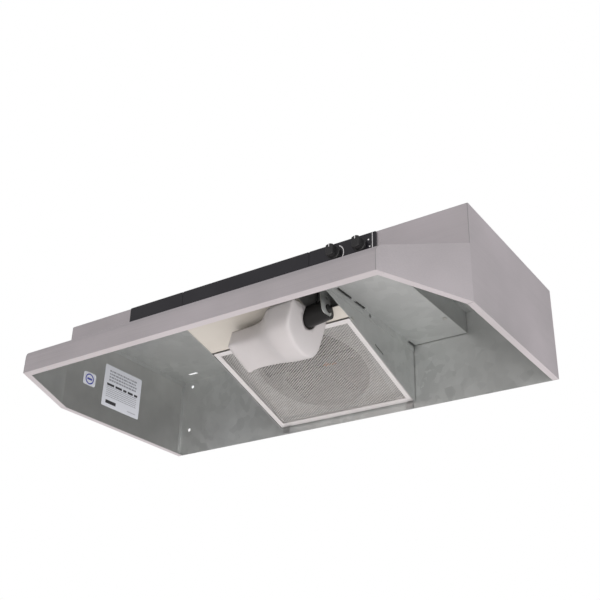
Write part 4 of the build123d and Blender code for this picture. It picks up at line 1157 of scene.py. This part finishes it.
def make_screw_tree():
    """One screw on each point of the carrier."""
    inputs = {
        "Head Radius": 0.0034,
        "Head Height": 0.0022,
        "Shank Radius": 0.0018,
        "Shank Length": 0.006,
        "Slot": 0.0008,
        "Turn": (0, 0, 0),
        "Material": None,
    }
    tree, source, result = node_tree("cross_head_screws", inputs)
    head = {"Mesh 1": domed_head(tree, source)}
    slotted = add(tree, "GeometryNodeMeshBoolean", head, operation="DIFFERENCE", solver="EXACT")
    for cutter in cross_cutters(tree, source):
        join(tree, cutter, slotted.inputs["Mesh 2"])
    whole = add(tree, "GeometryNodeJoinGeometry")
    for part in (slotted.outputs["Mesh"], sunk_shank(tree, source)):
        join(tree, part, whole.inputs[0])
    spots = {
        "Points": source.outputs["Geometry"],
        "Instance": whole.outputs[0],
        "Rotation": source.outputs["Turn"],
    }
    copies = add(tree, "GeometryNodeInstanceOnPoints", spots)
    end_tree(tree, source, result, copies.outputs[0])
    return tree


SCREWS = make_screw_tree()

# %% Put the screws where the plain ones are
HEAD_HIGH = 0.0022
HEAD_SHARE = 0.6
HEAD_FIT = 0.97
SHANK_FIT = 0.45
SLOT_FIT = 0.24
SAME_POINT = 1e-6


def islands(node):
    """The points of each separate shape in a node, a list for each."""
    work = bmesh.new()
    work.from_mesh(nodes[node].data)
    bmesh.ops.remove_doubles(work, verts=work.verts, dist=SAME_POINT)
    left = set(work.verts)
    found = []
    while left:
        front = [left.pop()]
        shape = []
        while front:
            vertex = front.pop()
            shape.append(vertex.co.copy())
            for edge in vertex.link_edges:
                other = edge.other_vert(vertex)
                if other in left:
                    left.remove(other)
                    front.append(other)
        found.append(shape)
    work.free()
    return found


def corners(shape):
    """Lowest and highest corner of a shape's box."""
    low = Vector([min(p[k] for p in shape) for k in range(3)])
    high = Vector([max(p[k] for p in shape) for k in range(3)])
    return low, high


def screws(node, outward):
    """Replaces a node's plain screws by cross-head ones that point the same way."""
    axis = Vector(outward).normalized()
    plated = finishes["zinc_fastener"]
    tops = []
    for shape in islands(node):
        along = [p.dot(axis) for p in shape]
        middle = sum(shape, Vector()) / len(shape)
        flat = middle - axis * middle.dot(axis)
        radius = max((p - axis * p.dot(axis) - flat).length for p in shape)
        depth = max(along) - min(along)
        tops.append(flat + axis * max(along))
    head = min(HEAD_HIGH, depth * HEAD_SHARE)
    piece = apply_tree(
        mesh_piece(node + "_cross_head", [p - axis * head / 2 for p in tops], [], plated),
        SCREWS,
        Head_Radius=radius * HEAD_FIT,
        Head_Height=head,
        Shank_Radius=radius * SHANK_FIT,
        Shank_Length=depth - head / 2,
        Slot=radius * SLOT_FIT,
        Turn=axis.to_track_quat("Z", "Y").to_euler(),
        Material=plated,
    )
    seat(piece, "hood", "zinc_fastener", node)


screws("cover_screws", (0, 0, -1))
screws("duct_screws", (0, 0, 1))
screws("motor_screws", -FAN_AXIS)

# %% [markdown]
# ### Wire nuts
# A twist-on connector is a ribbed cone, so that fingers can grip it. A Cone with many sides has its
# points drawn in by a cosine of their angle round the axis, which makes the ribs.

# %% Ribbed wire nuts as Geometry Nodes
NUT_RIBS = 14
SIDES_PER_RIB = 6
NUT_RINGS = 6
NUT_TIP = 0.28


def ribbed_cone(tree, source):
    """A cone along Z whose section is a ring of ribs."""
    sizes = {
        "Vertices": NUT_RIBS * SIDES_PER_RIB,
        "Side Segments": NUT_RINGS,
        "Radius Top": source.outputs["Narrow Radius"],
        "Radius Bottom": source.outputs["Wide Radius"],
        "Depth": source.outputs["Length"],
    }
    cone = add(tree, "GeometryNodeMeshCone", sizes)
    x, y, _ = point_parts(tree)
    turns = math_node(tree, "MULTIPLY", math_node(tree, "ARCTAN2", y, x), source.outputs["Ribs"])
    wave = math_node(tree, "COSINE", turns)
    inward = math_node(tree, "MULTIPLY", math_node(tree, "SUBTRACT", wave, 1.0), 0.5)
    depth = math_node(tree, "MULTIPLY", inward, source.outputs["Rib Depth"])
    outward = vector_math(tree, "NORMALIZE", {0: xyz(tree, x, y)})[0]
    shift = vector_math(tree, "SCALE", {0: outward, "Scale": depth})[0]
    ribs = {"Geometry": cone.outputs["Mesh"], "Offset": shift}
    return add(tree, "GeometryNodeSetPosition", ribs).outputs[0]


def make_nut_tree():
    """A ribbed cone along +X on each point of the carrier."""
    inputs = {
        "Wide Radius": 0.008,
        "Narrow Radius": 0.004,
        "Length": 0.022,
        "Rib Depth": 0.0009,
        "Ribs": float(NUT_RIBS),
        "Material": None,
    }
    tree, source, result = node_tree("ribbed_cones", inputs)
    spots = {
        "Points": source.outputs["Geometry"],
        "Instance": ribbed_cone(tree, source),
        "Rotation": (0, math.pi / 2, 0),
    }
    copies = add(tree, "GeometryNodeInstanceOnPoints", spots)
    end_tree(tree, source, result, copies.outputs[0])
    return tree


nut_boxes = [corners(shape) for shape in islands("wire_nuts")]
nut_starts = [(low.x, (low.y + high.y) / 2, (low.z + high.z) / 2) for low, high in nut_boxes]
nut_size = nut_boxes[0][1] - nut_boxes[0][0]
ribbed_nuts = apply_tree(
    mesh_piece("ribbed_wire_nuts", nut_starts, [], finishes["wire_nut_plastic"]),
    make_nut_tree(),
    Wide_Radius=nut_size.y / 2,
    Narrow_Radius=nut_size.y * NUT_TIP,
    Length=nut_size.x,
    Material=finishes["wire_nut_plastic"],
)
seat(ribbed_nuts, "hood", "wire_nut_plastic", "wire_nuts")
